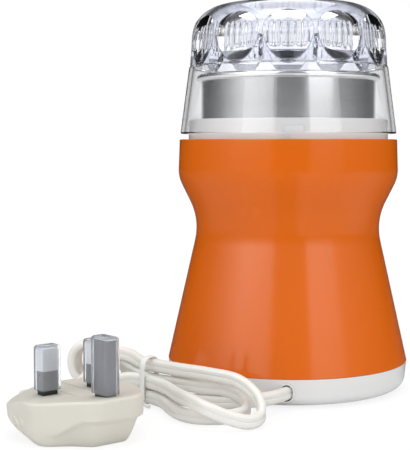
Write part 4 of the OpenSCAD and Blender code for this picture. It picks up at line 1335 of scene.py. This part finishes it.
@dataclass
class GrinderBody:
    """Hourglass shell and the steel cup inside it, sizes in millimetres.

    The shell's rows are the radius, height and round of its foot, waist, shoulder and top.
    """

    shell: tuple[Point, Point, Point, Point] = (
        (54.6, 12.85, 0.25), (40.248, 76.0, 27.0), (49.9, 95.6, 15.0), (49.3, 112.6, 0.5),
    )
    shell_wall: float = 2.0
    foot_inset: float = 0.02
    lip_depth: float = 8.0
    around: int = 240
    cup: Point = (39.5, 103.0, 141.5)
    cup_bore: float = 7.05
    cup_wall: float = 0.8
    cup_round: float = 8.0
    cup_lap: float = 0.5
    bead: float = 1.5
    bead_arc: Span = (-150.0, 330.0)
    bead_steps: int = 24

    def build_shell(self) -> bpy.types.Object:
        """Turns the coloured shell with softened ends.

        Returns:
            The piece.
        """
        foot, waist, shoulder, (lip, top, soft) = self.shell
        wall = self.shell_wall
        start, end = (foot[0] - wall, foot[1], 0), (lip - wall, top - self.lip_depth, 0)
        outer = rounded([
            start, (foot[0] - self.foot_inset, *foot[1:]), waist, shoulder, (lip, top, soft),
            (lip - wall, top, soft), end,
        ], step=2.0)
        inner = rounded([end, (shoulder[0] - wall, *shoulder[1:]), (waist[0] - wall, *waist[1:]), start])
        mesh = lathe(outer + inner[1:-1], self.around)
        nodes = ("body_shell",)
        return keep(mesh, "orange_shell", ORANGE, Body.HOUSING, nodes, sharp=40.0)

    def build_cup(self) -> bpy.types.Object:
        """Turns the steel cup with its rolled bead.

        Returns:
            The piece.
        """
        radius, low, high = self.cup
        bore, wall, bead = self.cup_bore, self.cup_wall, self.bead
        inside, floor = radius - wall, low + wall
        far, up = inside + bead, high - bead
        start, swing = self.bead_arc
        turns = [math.radians(start + swing * k / self.bead_steps) for k in range(self.bead_steps + 1)]
        roll = [(far + bead * math.cos(turn), up + bead * math.sin(turn)) for turn in turns]
        outer = rounded([(bore, low, 0), (radius, low, self.cup_round), (radius, roll[0][1], 0)])
        lap = (inside, up - self.cup_lap, 0)
        inner = rounded([lap, (inside, floor, self.cup_round - wall), (bore, floor, 0)])
        mesh = lathe(outer + roll + inner, self.around)
        return keep(mesh, "steel_cup", CUP, Body.HOUSING, ("grinding_cup",), sharp=40.0)


@dataclass
class PressSwitch:
    """Return spring of the press switch."""

    turns: int = 6
    steps: int = 24
    wire: float = 0.35
    wire_sides: int = 10
    travel: float = 2.2

    def build_spring(self) -> bpy.types.Object:
        """Winds the spring where its solid stands.

        Returns:
            The piece.
        """
        low, high = (Vector(corner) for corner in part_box("plunger_spring"))
        middle = (low + high) / 2
        wire, count = self.wire * MM, self.turns * self.steps
        mesh = bmesh.new()
        start = Matrix.Translation((high.x - wire, middle.y, low.z + wire))
        start @= Matrix.Rotation(math.pi / 2, 4, "X")
        bmesh.ops.create_circle(mesh, cap_ends=False, segments=self.wire_sides, radius=wire, matrix=start)
        bmesh.ops.spin(
            mesh, geom=mesh.verts[:] + mesh.edges[:], cent=middle, axis=UP,
            dvec=(0.0, 0.0, (high.z - low.z - 2 * wire) / count), angle=CIRCLE * self.turns, steps=count,
            use_merge=False,
        )
        bmesh.ops.holes_fill(mesh, edges=[edge for edge in mesh.edges if edge.is_boundary])
        nodes = ("plunger_spring",)
        piece = keep(mesh, "press_spring", SHAFT, Body.HOUSING, nodes, sharp=60.0)
        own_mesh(piece)
        return piece


@dataclass(frozen=True)
class PinCap:
    """Hollow clear cap on a pin: its solid, body, place and outer sizes in the plug's frame."""

    name: str
    body: Body
    spot: Span
    size: Span
    heights: Span
    wall: float = 0.85
    outer_round: float = 1.25
    inner_round: float = 0.9
    past: float = 4.0

    def block(self, grow: float, low: float, high: float, soften: float = 0.0, steps: int = 2) -> Mesh:
        """Upright block round the pin, wider than the cap by a margin.

        Args:
            grow: Margin on each side, negative to go inside.
            low: Height of its foot.
            high: Height of its top.
            soften: Width of the edge bevel.
            steps: Segments of the bevel.

        Returns:
            The block.
        """
        x, y = self.spot
        wide, deep = self.size[0] / 2 + grow, self.size[1] / 2 + grow
        return box((x - wide, y - deep, low), (x + wide, y + deep, high), soften, steps)

    def build(self, place: Matrix) -> bpy.types.Object:
        """Makes the cap with soft edges and an open foot.

        Args:
            place: Transform from the plug's frame to the scene.

        Returns:
            The piece.
        """
        low, high = self.heights
        core = self.block(-self.wall, low - 1.5 * self.past, high - self.wall, self.inner_round, steps=4)
        foot = self.block(self.past, low - 2 * self.past, low)
        whole = self.block(0.0, low - self.past, high, self.outer_round, steps=5)
        mesh = shaped(whole, [("DIFFERENCE", core), ("DIFFERENCE", foot)])
        bmesh.ops.transform(mesh, matrix=place, verts=mesh.verts)
        return keep(mesh, f"{self.name}_soft", SMOKE, self.body, (self.name,), sharp=40.0)


@dataclass
class MainsPlug:
    """Three-pin plug lying on its rounded back, with a ribbed grip and a clear cap on each pin.

    Sizes are in millimetres in the plug's own frame. A fade is the place where a form starts to show and the
    length over which it does. The levels are the height and inset of each ring down the side.
    """

    spot: Span = (-82.0, -94.3)
    angle: float = 44.0
    height: float = 16.0
    corners: tuple[Span, ...] = (
        (-11.0, -31.6), (11.0, -31.6), (25.0, -9.0), (25.0, 8.0), (15.0, 18.6), (-15.0, 18.6), (-25.0, 8.0),
        (-25.0, -9.0),
    )
    corner_round: float = 10.0
    around: int = 280
    levels: tuple[Span, ...] = (
        (16.0, 1.0), (15.93, 0.55), (15.7, 0.22), (15.3, 0.05), (14.8, 0.0), (14.0, 0.0), (13.2, 0.0),
        (12.4, 0.02), (11.6, 0.05), (10.8, 0.06), (10.0, 0.08), (9.2, 0.1), (8.4, 0.13), (7.6, 0.18),
        (6.8, 0.26), (6.0, 0.38), (5.2, 0.56), (4.4, 0.82), (3.6, 1.2), (2.8, 1.72), (2.1, 2.35), (1.5, 3.1),
        (1.0, 3.95), (0.6, 4.9), (0.3, 5.95), (0.12, 7.0),
    )
    face_middle: Span = (0.0, -5.0)
    face_rings: tuple[float, ...] = (0.25, 0.45, 0.62, 0.77, 0.9)
    facing: Span = (0.69, 0.72)
    front_fade: Span = (-14.0, 16.0)
    tail_lift: float = 4.6
    tail_fade: Span = (2.0, 17.0)
    nose_lift: float = 2.2
    nose_fade: Span = (8.0, 22.0)
    nose_full: float = 0.85
    full_fade: Span = (2.0, 14.0)
    full_depth: float = 0.5
    end_lift: float = 6.0
    end_drop: float = 4.2
    end_fade: Span = (13.0, 16.0)
    lift_curve: float = 1.5
    end_curves: Span = (1.6, 2.0)
    step_depth: float = 1.7
    step_slope: float = 0.4
    step_soft: float = 1.3
    step_edge: float = 4.8
    step_rise: float = 5.2
    step_fall: float = 0.6
    rise_fade: Span = (-4.0, 15.0)
    fall_fade: Span = (12.0, 14.0)
    step_fade: Span = (-9.0, 12.0)
    dent_depth: float = 0.9
    dent_spot: Span = (-15.0, 9.5)
    dent_size: Span = (5.0, 3.4)
    slit_depth: float = 1.1
    slit_pitch: float = 2.4
    slit_slant: float = 0.45
    slit_sharp: int = 3
    slit_fade: Span = (14.5, 1.5)
    slit_top: Span = (-11.0, 2.0)
    pocket: tuple[Point, Point] = ((-4.9, -13.9, 6.4), (4.9, 14.9, 18.0))
    grip: Span = (17.6, 29.0)
    grip_steps: tuple[int, int] = (60, 40)
    grip_wide: Span = (10.4, 3.7)
    grip_tall: Span = (6.2, 3.9)
    grip_taper: float = 0.8
    grip_square: float = 0.8
    grip_end: float = 0.9
    end_share: Span = (0.94, 0.06)
    ribs: int = 4
    rib_height: float = 0.75
    rib_flat: float = 0.8
    caps: tuple[PinCap, ...] = (
        PinCap("live_cap", Body.LIVE_CAP, (-11.1, 0.0), (8.95, 6.55), (18.0, 34.95)),
        PinCap("neutral_cap", Body.NEUTRAL_CAP, (11.1, 0.0), (8.95, 6.55), (18.0, 34.95)),
        PinCap("earth_cap", Body.EARTH_CAP, (0.0, -22.2), (6.55, 10.55), (18.6, 39.95)),
    )

    def outline(self) -> list[tuple[Vector, Vector]]:
        """Outline of the plug with its outward directions.

        Returns:
            Points in millimetres with unit normals, evenly spaced.
        """
        count = len(self.corners)
        ends = [(Vector(self.corners[k - 1]) + Vector(self.corners[k])) / 2 for k in range(count)]
        dense: list[Vector] = []
        for k, corner in enumerate(self.corners):
            turn = rounded([(*ends[k], 0), (*corner, self.corner_round), (*ends[(k + 1) % count], 0)])
            dense.extend(Vector(point) for point in turn[:-1])
        points = divided([*dense, dense[0]], self.around)
        made = []
        for k, point in enumerate(points):
            along = points[(k + 1) % len(points)] - points[k - 1]
            made.append((point, Vector((along.y, -along.x)).normalized()))
        return made

    def hollow(self, point: Vector, height: float) -> float:
        """Depth of the side's soft step, thumb hollow and slits at a place.

        Args:
            point: Place on the outline.
            height: Height above the table.

        Returns:
            Depth in millimetres.
        """
        front = ease(-self.facing[0] * point.x - self.facing[1] * point.y, *self.front_fade)
        along = self.facing[1] * point.x - self.facing[0] * point.y
        edge = self.step_edge + self.step_rise * ease(along, *self.rise_fade)
        edge -= self.step_fall * ease(along, *self.fall_fade)
        step = self.step_depth * ease(edge, height, self.step_soft)
        step += self.step_slope * max(0.0, edge - height)
        step *= ease(along, *self.step_fade)
        aside = (along - self.dent_spot[0]) / self.dent_size[0]
        above = (height - self.dent_spot[1]) / self.dent_size[1]
        dent = self.dent_depth * math.exp(-(aside ** 2) - above ** 2)
        wave = math.cos(CIRCLE * (along + self.slit_slant * height) / self.slit_pitch)
        slit = max(0.0, wave) ** self.slit_sharp
        slit *= ease(-along, *self.slit_fade) * ease(-height, *self.slit_top)
        return front * (step + dent) + self.slit_depth * slit

    def rise(self, point: Vector, height: float) -> float:
        """Lift of tail, nose and left end at a place.

        Args:
            point: Place in the plug's frame.
            height: Height of its level.

        Returns:
            Lift in millimetres.
        """
        low = 1 - height / self.height
        end = ease(self.facing[0] * point.y - self.facing[1] * point.x, *self.end_fade)
        lift = self.tail_lift * ease(point.y, *self.tail_fade) * low ** self.lift_curve
        lift += self.nose_lift * ease(-point.y, *self.nose_fade) * (1 - low) ** self.lift_curve
        up, down = self.end_curves
        return lift + end * (self.end_lift * low ** up - self.end_drop * (1 - low) ** down)

    def rings(self) -> list[list[Point]]:
        """Rings of points from the middle of the face outwards and down the side.

        Returns:
            The rings in millimetres.
        """
        outline = self.outline()
        middle = Vector(self.face_middle)
        made = []
        for share in self.face_rings:
            flat = [middle.lerp(point - out, share) for point, out in outline]
            made.append([(*spot, self.height + self.rise(spot, self.height)) for spot in flat])
        for height, inset in self.levels:
            full = self.nose_full * ease(1 - height / self.height, 0.0, self.full_depth)
            ring = []
            for point, out in outline:
                inward = inset * (1 - full * ease(-point.y, *self.full_fade)) + self.hollow(point, height)
                spot = point - out * inward
                ring.append((*spot, height + self.rise(point, height)))
            made.append(ring)
        return made

    def grip_rings(self) -> list[list[Point]]:
        """Rings of points along the tapered grip, swelling at each rib.

        Returns:
            The rings in millimetres.
        """
        start, end = self.grip
        (wide, narrow), (tall, short) = self.grip_wide, self.grip_tall
        steps, count = self.grip_steps
        made = []
        for k in range(steps + 1):
            share = k / steps
            swell = self.rib_height * (0.5 + 0.5 * math.cos(CIRCLE * self.ribs * share))
            swell -= self.grip_end * ease(share, *self.end_share)
            half_wide = wide + (narrow - wide) * share ** self.grip_taper + swell
            half_tall = tall + (short - tall) * share + swell * self.rib_flat
            ring = []
            for x, z in oval(1.0, 1.0, count):
                across = half_wide * math.copysign(abs(x) ** self.grip_square, x)
                up = half_tall * math.copysign(abs(z) ** self.grip_square, z)
                ring.append((across, start + (end - start) * share, self.height / 2 + up))
            made.append(ring)
        return made

    def build(self) -> list[bpy.types.Object]:
        """Makes all of the plug's own pieces, the body with the pocket of its fuse carrier.

        Returns:
            Body, grip and caps.
        """
        place = upright_place(self.spot, self.angle)
        shell = shaped(lofted(self.rings()), [("DIFFERENCE", box(*self.pocket))])
        grip = lofted(self.grip_rings())
        for mesh in (shell, grip):
            bmesh.ops.transform(mesh, matrix=place, verts=mesh.verts)
        return [
            keep(shell, "plug_shell", IVORY, Body.HOUSING, ("plug_body",), sharp=50.0),
            keep(grip, "plug_grip", IVORY, Body.HOUSING, ("plug_boot",), sharp=60.0),
            *(cap.build(place) for cap in self.caps),
        ]


@dataclass(frozen=True)
class Lamp:
    """Square soft lamp that reflections don't show: place, aim and side length in metres."""

    name: str
    spot: Point
    aim: Point
    size: float
    watts: float

    def hang(self) -> None:
        """Adds the lamp to the scene."""
        data = bpy.data.lights.new(self.name, "AREA")
        data.size = self.size
        data.energy = self.watts
        lamp = bpy.data.objects.new(self.name, data)
        lamp.location = self.spot
        lamp.rotation_euler = (Vector(self.aim) - Vector(self.spot)).to_track_quat("-Z", "Y").to_euler()
        lamp.visible_glossy = False
        bpy.context.scene.collection.objects.link(lamp)


def levels_round(sheet: NodeSheet, x: Value, y: Value, stops: Sequence[Span]) -> Value:
    """Grey level by the direction round the object.

    Args:
        sheet: The sheet to add to.
        x: Part of the direction or place to the camera's right.
        y: Part of it away from the camera.
        stops: Angle from the camera's side in degrees, and level.

    Returns:
        The level.
    """
    turn = x.by("ARCTAN2", y * -1.0) / CIRCLE
    ramp = sheet.add("ShaderNodeValToRGB", in_Fac=turn + 0.5)
    elements = ramp.color_ramp.elements
    while len(elements) < len(stops):
        elements.new(0.5)
    for element, (angle, level) in zip(elements, stops):
        element.position = angle / 360 + 0.5
        element.color = (level, level, level, 1.0)
    return Value(sheet, ramp.outputs["Color"])


@dataclass(frozen=True)
class FloorFinish(Finish):
    """Pale floor that keeps the shadow, fades into white and shows soft panels in reflections."""

    gloss: float = 0.9
    shine: float = 0.1
    glow: float = 1.04
    seen: float = 0.8
    fade: Span = (0.22, 0.6)
    panels: tuple[Span, ...] = (
        (-180, 0.04), (-120, 0.06), (-85, 0.42), (-60, 0.5), (-18, 0.46), (-10, 0.14), (8, 0.14), (14, 0.52),
        (85, 0.52), (120, 0.08), (180, 0.04),
    )

    def fill(self, sheet: NodeSheet) -> None:
        """Blends the lit floor with its glow by the kind of ray that meets it.

        Args:
            sheet: The material's sheet.
        """
        place = sheet.place()
        x, y, _ = sheet.parts(place)
        path = sheet.values("ShaderNodeLightPath")
        seen = path["Is Camera Ray"].by("MAXIMUM", path["Is Transmission Ray"])
        glossy = path["Is Glossy Ray"]
        away = sheet.result("ShaderNodeVectorMath", "Value", operation="LENGTH", in_0=place)
        share = away.eased((self.fade[0], self.seen), (self.fade[1], 1.0))
        strength = glossy * levels_round(sheet, x, y, self.panels) + seen * self.glow
        lit = sheet.result(
            "ShaderNodeBsdfPrincipled", "BSDF", in_Base_Color=self.colour, in_Roughness=self.gloss,
            in_Specular_IOR_Level=self.shine,
        )
        glow = sheet.result("ShaderNodeEmission", in_Strength=strength)
        glowing = (seen * share).by("MAXIMUM", glossy)
        blend = sheet.result("ShaderNodeMixShader", in_0=glowing, in_1=lit, in_2=glow)
        sheet.add("ShaderNodeOutputMaterial", in_Surface=blend)


@dataclass
class Studio:
    """Pale floor, white surround, soft lamps and the camera at the photograph's place, in metres."""

    eye: Point = (0.0, -0.513, 0.1095)
    yaw: float = 0.0737
    pitch: float = 0.0704
    focal_pixels: float = 1116.3
    tall_pixels: float = 450.0
    sensor: float = 36.0
    clip: Span = (0.01, 50.0)
    floor_half: float = 3.0
    floor_cells: int = 8
    floor_finish: FloorFinish = FloorFinish("pale_floor", (0.86, 0.86, 0.86))
    soft_colour: Colour = (0.97, 0.98, 1.0)
    soft_level: float = 0.62
    panel_rise: float = 0.45
    panel_low: float = 1.0
    panel_high: float = 6.0
    panel_inside: float = 1.42
    panel_least: float = 0.09
    backdrop_top: Span = (0.8, 1.0)
    backdrop_foot: Span = (-0.75, -0.5)
    backdrop_back: Span = (0.8, 0.93)
    panels: tuple[Span, ...] = (
        (-180, 0.01), (-130, 0.02), (-100, 0.1), (-78, 0.34), (-52, 0.7), (-24, 0.48), (-17, 0.4), (-15, 0.1),
        (22, 0.1), (25, 0.5), (56, 0.46), (60, 0.24), (100, 0.12), (130, 0.02), (180, 0.01),
    )
    lamps: tuple[Lamp, ...] = (
        Lamp("left_panel", (-0.62, -1.0, 0.78), (-0.02, 0.0, 0.07), 0.9, 4.5),
        Lamp("right_panel", (0.8, -0.9, 0.6), (0.0, 0.0, 0.08), 0.8, 3.2),
        Lamp("top_panel", (0.0, 0.15, 1.2), (0.0, 0.0, 0.1), 1.0, 8.0),
    )

    def camera(self) -> None:
        """Sets the camera that looks at the back of the grinder."""
        data = bpy.data.cameras.new("photo_camera")
        data.sensor_width = self.sensor
        data.lens = self.focal_pixels / self.tall_pixels * self.sensor
        data.clip_start, data.clip_end = self.clip
        eye = bpy.data.objects.new("photo_camera", data)
        eye.location = self.eye
        eye.rotation_euler = (math.pi / 2 - self.pitch, 0.0, self.yaw)
        bpy.context.scene.collection.objects.link(eye)
        bpy.context.scene.camera = eye

    def floor(self) -> None:
        """Lays the pale floor, which isn't part of the object."""
        mesh = bmesh.new()
        cells = self.floor_cells
        bmesh.ops.create_grid(mesh, x_segments=cells, y_segments=cells, size=self.floor_half)
        ground = placed(mesh, "floor")
        show(ground, self.floor_finish)

    def surround(self) -> None:
        """Fills the world: white behind the object, soft panels left and right for reflections."""
        world = bpy.data.worlds.new("studio")
        world.use_nodes = True
        bpy.context.scene.world = world
        sheet = NodeSheet(world.node_tree)
        x, y, z = sheet.parts(sheet.result("ShaderNodeTexCoord", "Generated"))
        path = sheet.values("ShaderNodeLightPath")
        glossy, clear = path["Is Glossy Ray"], path["Is Transmission Ray"]
        spread = 1.0 - path["Diffuse Depth"].by("MINIMUM", 1.0)
        straight = 1.0 - path["Glossy Depth"].by("MINIMUM", 1.0)
        through = clear * spread
        rising = z.eased((0.0, self.panel_low), (self.panel_rise, self.panel_high))
        level = (rising * glossy).by("MAXIMUM", through * self.panel_inside)
        shown = levels_round(sheet, x, y, self.panels) * level
        strength = shown.by("MAXIMUM", through * self.panel_least)
        panels = sheet.result("ShaderNodeBackground", in_Strength=strength)
        white = sheet.result("ShaderNodeBackground", in_Color=(1.0, 1.0, 1.0), in_Strength=1.0)
        soft = sheet.result("ShaderNodeBackground", in_Color=self.soft_colour, in_Strength=self.soft_level)
        bent = glossy.by("MAXIMUM", clear) * spread
        lit = sheet.result("ShaderNodeMixShader", in_0=bent, in_1=soft, in_2=panels)
        below_top = z.eased((self.backdrop_top[0], 1.0), (self.backdrop_top[1], 0.0))
        above_foot = z.eased((self.backdrop_foot[0], 0.0), (self.backdrop_foot[1], 1.0))
        ahead = y.eased((self.backdrop_back[0], 0.0), (self.backdrop_back[1], 1.0))
        open_view = (straight * (below_top * above_foot)).by("MAXIMUM", ahead)
        backdrop = path["Is Camera Ray"].by("MAXIMUM", through * open_view)
        whole = sheet.result("ShaderNodeMixShader", in_0=backdrop, in_1=lit, in_2=white)
        sheet.add("ShaderNodeOutputWorld", in_Surface=whole)

    def build(self) -> None:
        """Sets camera, floor, surround, lamps and view settings."""
        bpy.context.scene.view_settings.view_transform = "Standard"
        self.camera()
        self.floor()
        self.surround()
        for lamp in self.lamps:
            lamp.hang()


NODE_FINISHES: dict[Finish, tuple[str, ...]] = {
    ORANGE: ("body_shell",),
    WHITE: ("base_cover", "collar_frame", "cord_gland"),
    CLEAR: ("lid",),
    CUP: ("grinding_cup",),
    BLADE: ("blade", "blade_nut", "blade_washer"),
    SHAFT: ("motor_shaft", "guide_pin", "brush_springs", "plunger_spring"),
    ZINC: (
        "base_screws", "mount_screws", "motor_bolts", "motor_nuts", "switch_screws", "clamp_screws",
        "spring_clip",
    ),
    RUBBER: ("feet", "rubber_mounts", "cup_gasket", "shaft_seal"),
    BLACK: ("hub_bush", "hub_nut", "microswitch", "pin_sleeves", "earth_pin", "brush_holders"),
    PRESSED: ("upper_bracket", "lower_bracket", "switch_bracket"),
    BRONZE: ("upper_bush", "lower_bush"),
    STACK: ("stator_core", "armature_core"),
    WOUND: ("field_coils", "armature_windings"),
    COPPER: ("commutator",),
    CARBON: ("carbon_brushes",),
    NYLON: ("cooling_fan", "switch_plunger"),
    RED: ("switch_button",),
    BRASS: ("switch_terminals",),
    NICKEL: ("line_pins",),
    WIRE: ("inner_leads",),
    IVORY: ("plug_body", "plug_boot", "fuse_carrier", "cord_clamp"),
    LEAD: ("cord_lead", "cord_hank", "cord_tail"),
    TIE: ("cord_tie",),
    CERAMIC: ("fuse",),
    SMOKE: ("live_cap", "neutral_cap", "earth_cap"),
}
NODES_ON_CORD = ("line_pins", "pin_sleeves", "earth_pin", "fuse_carrier", "fuse")


def dress_nodes() -> None:
    """Gives every solid of the frame its finish."""
    for finish, names in NODE_FINISHES.items():
        for name in names:
            show(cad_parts[name], finish)


def main() -> None:
    """Builds and dresses the pieces in order."""
    logging.basicConfig(level=logging.INFO, format="%(name)s: %(message)s")
    Studio().build()
    dress_nodes()
    ClearLid().build()
    body = GrinderBody()
    body.build_shell()
    body.build_cup()
    PressSwitch().build_spring()
    lead = MainsLead()
    cord, line = lead.build()
    on_cord = [TwistTie().build(), *MainsPlug().build(), *(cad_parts[name] for name in NODES_ON_CORD)]


if __name__ == "__main__":
    main()
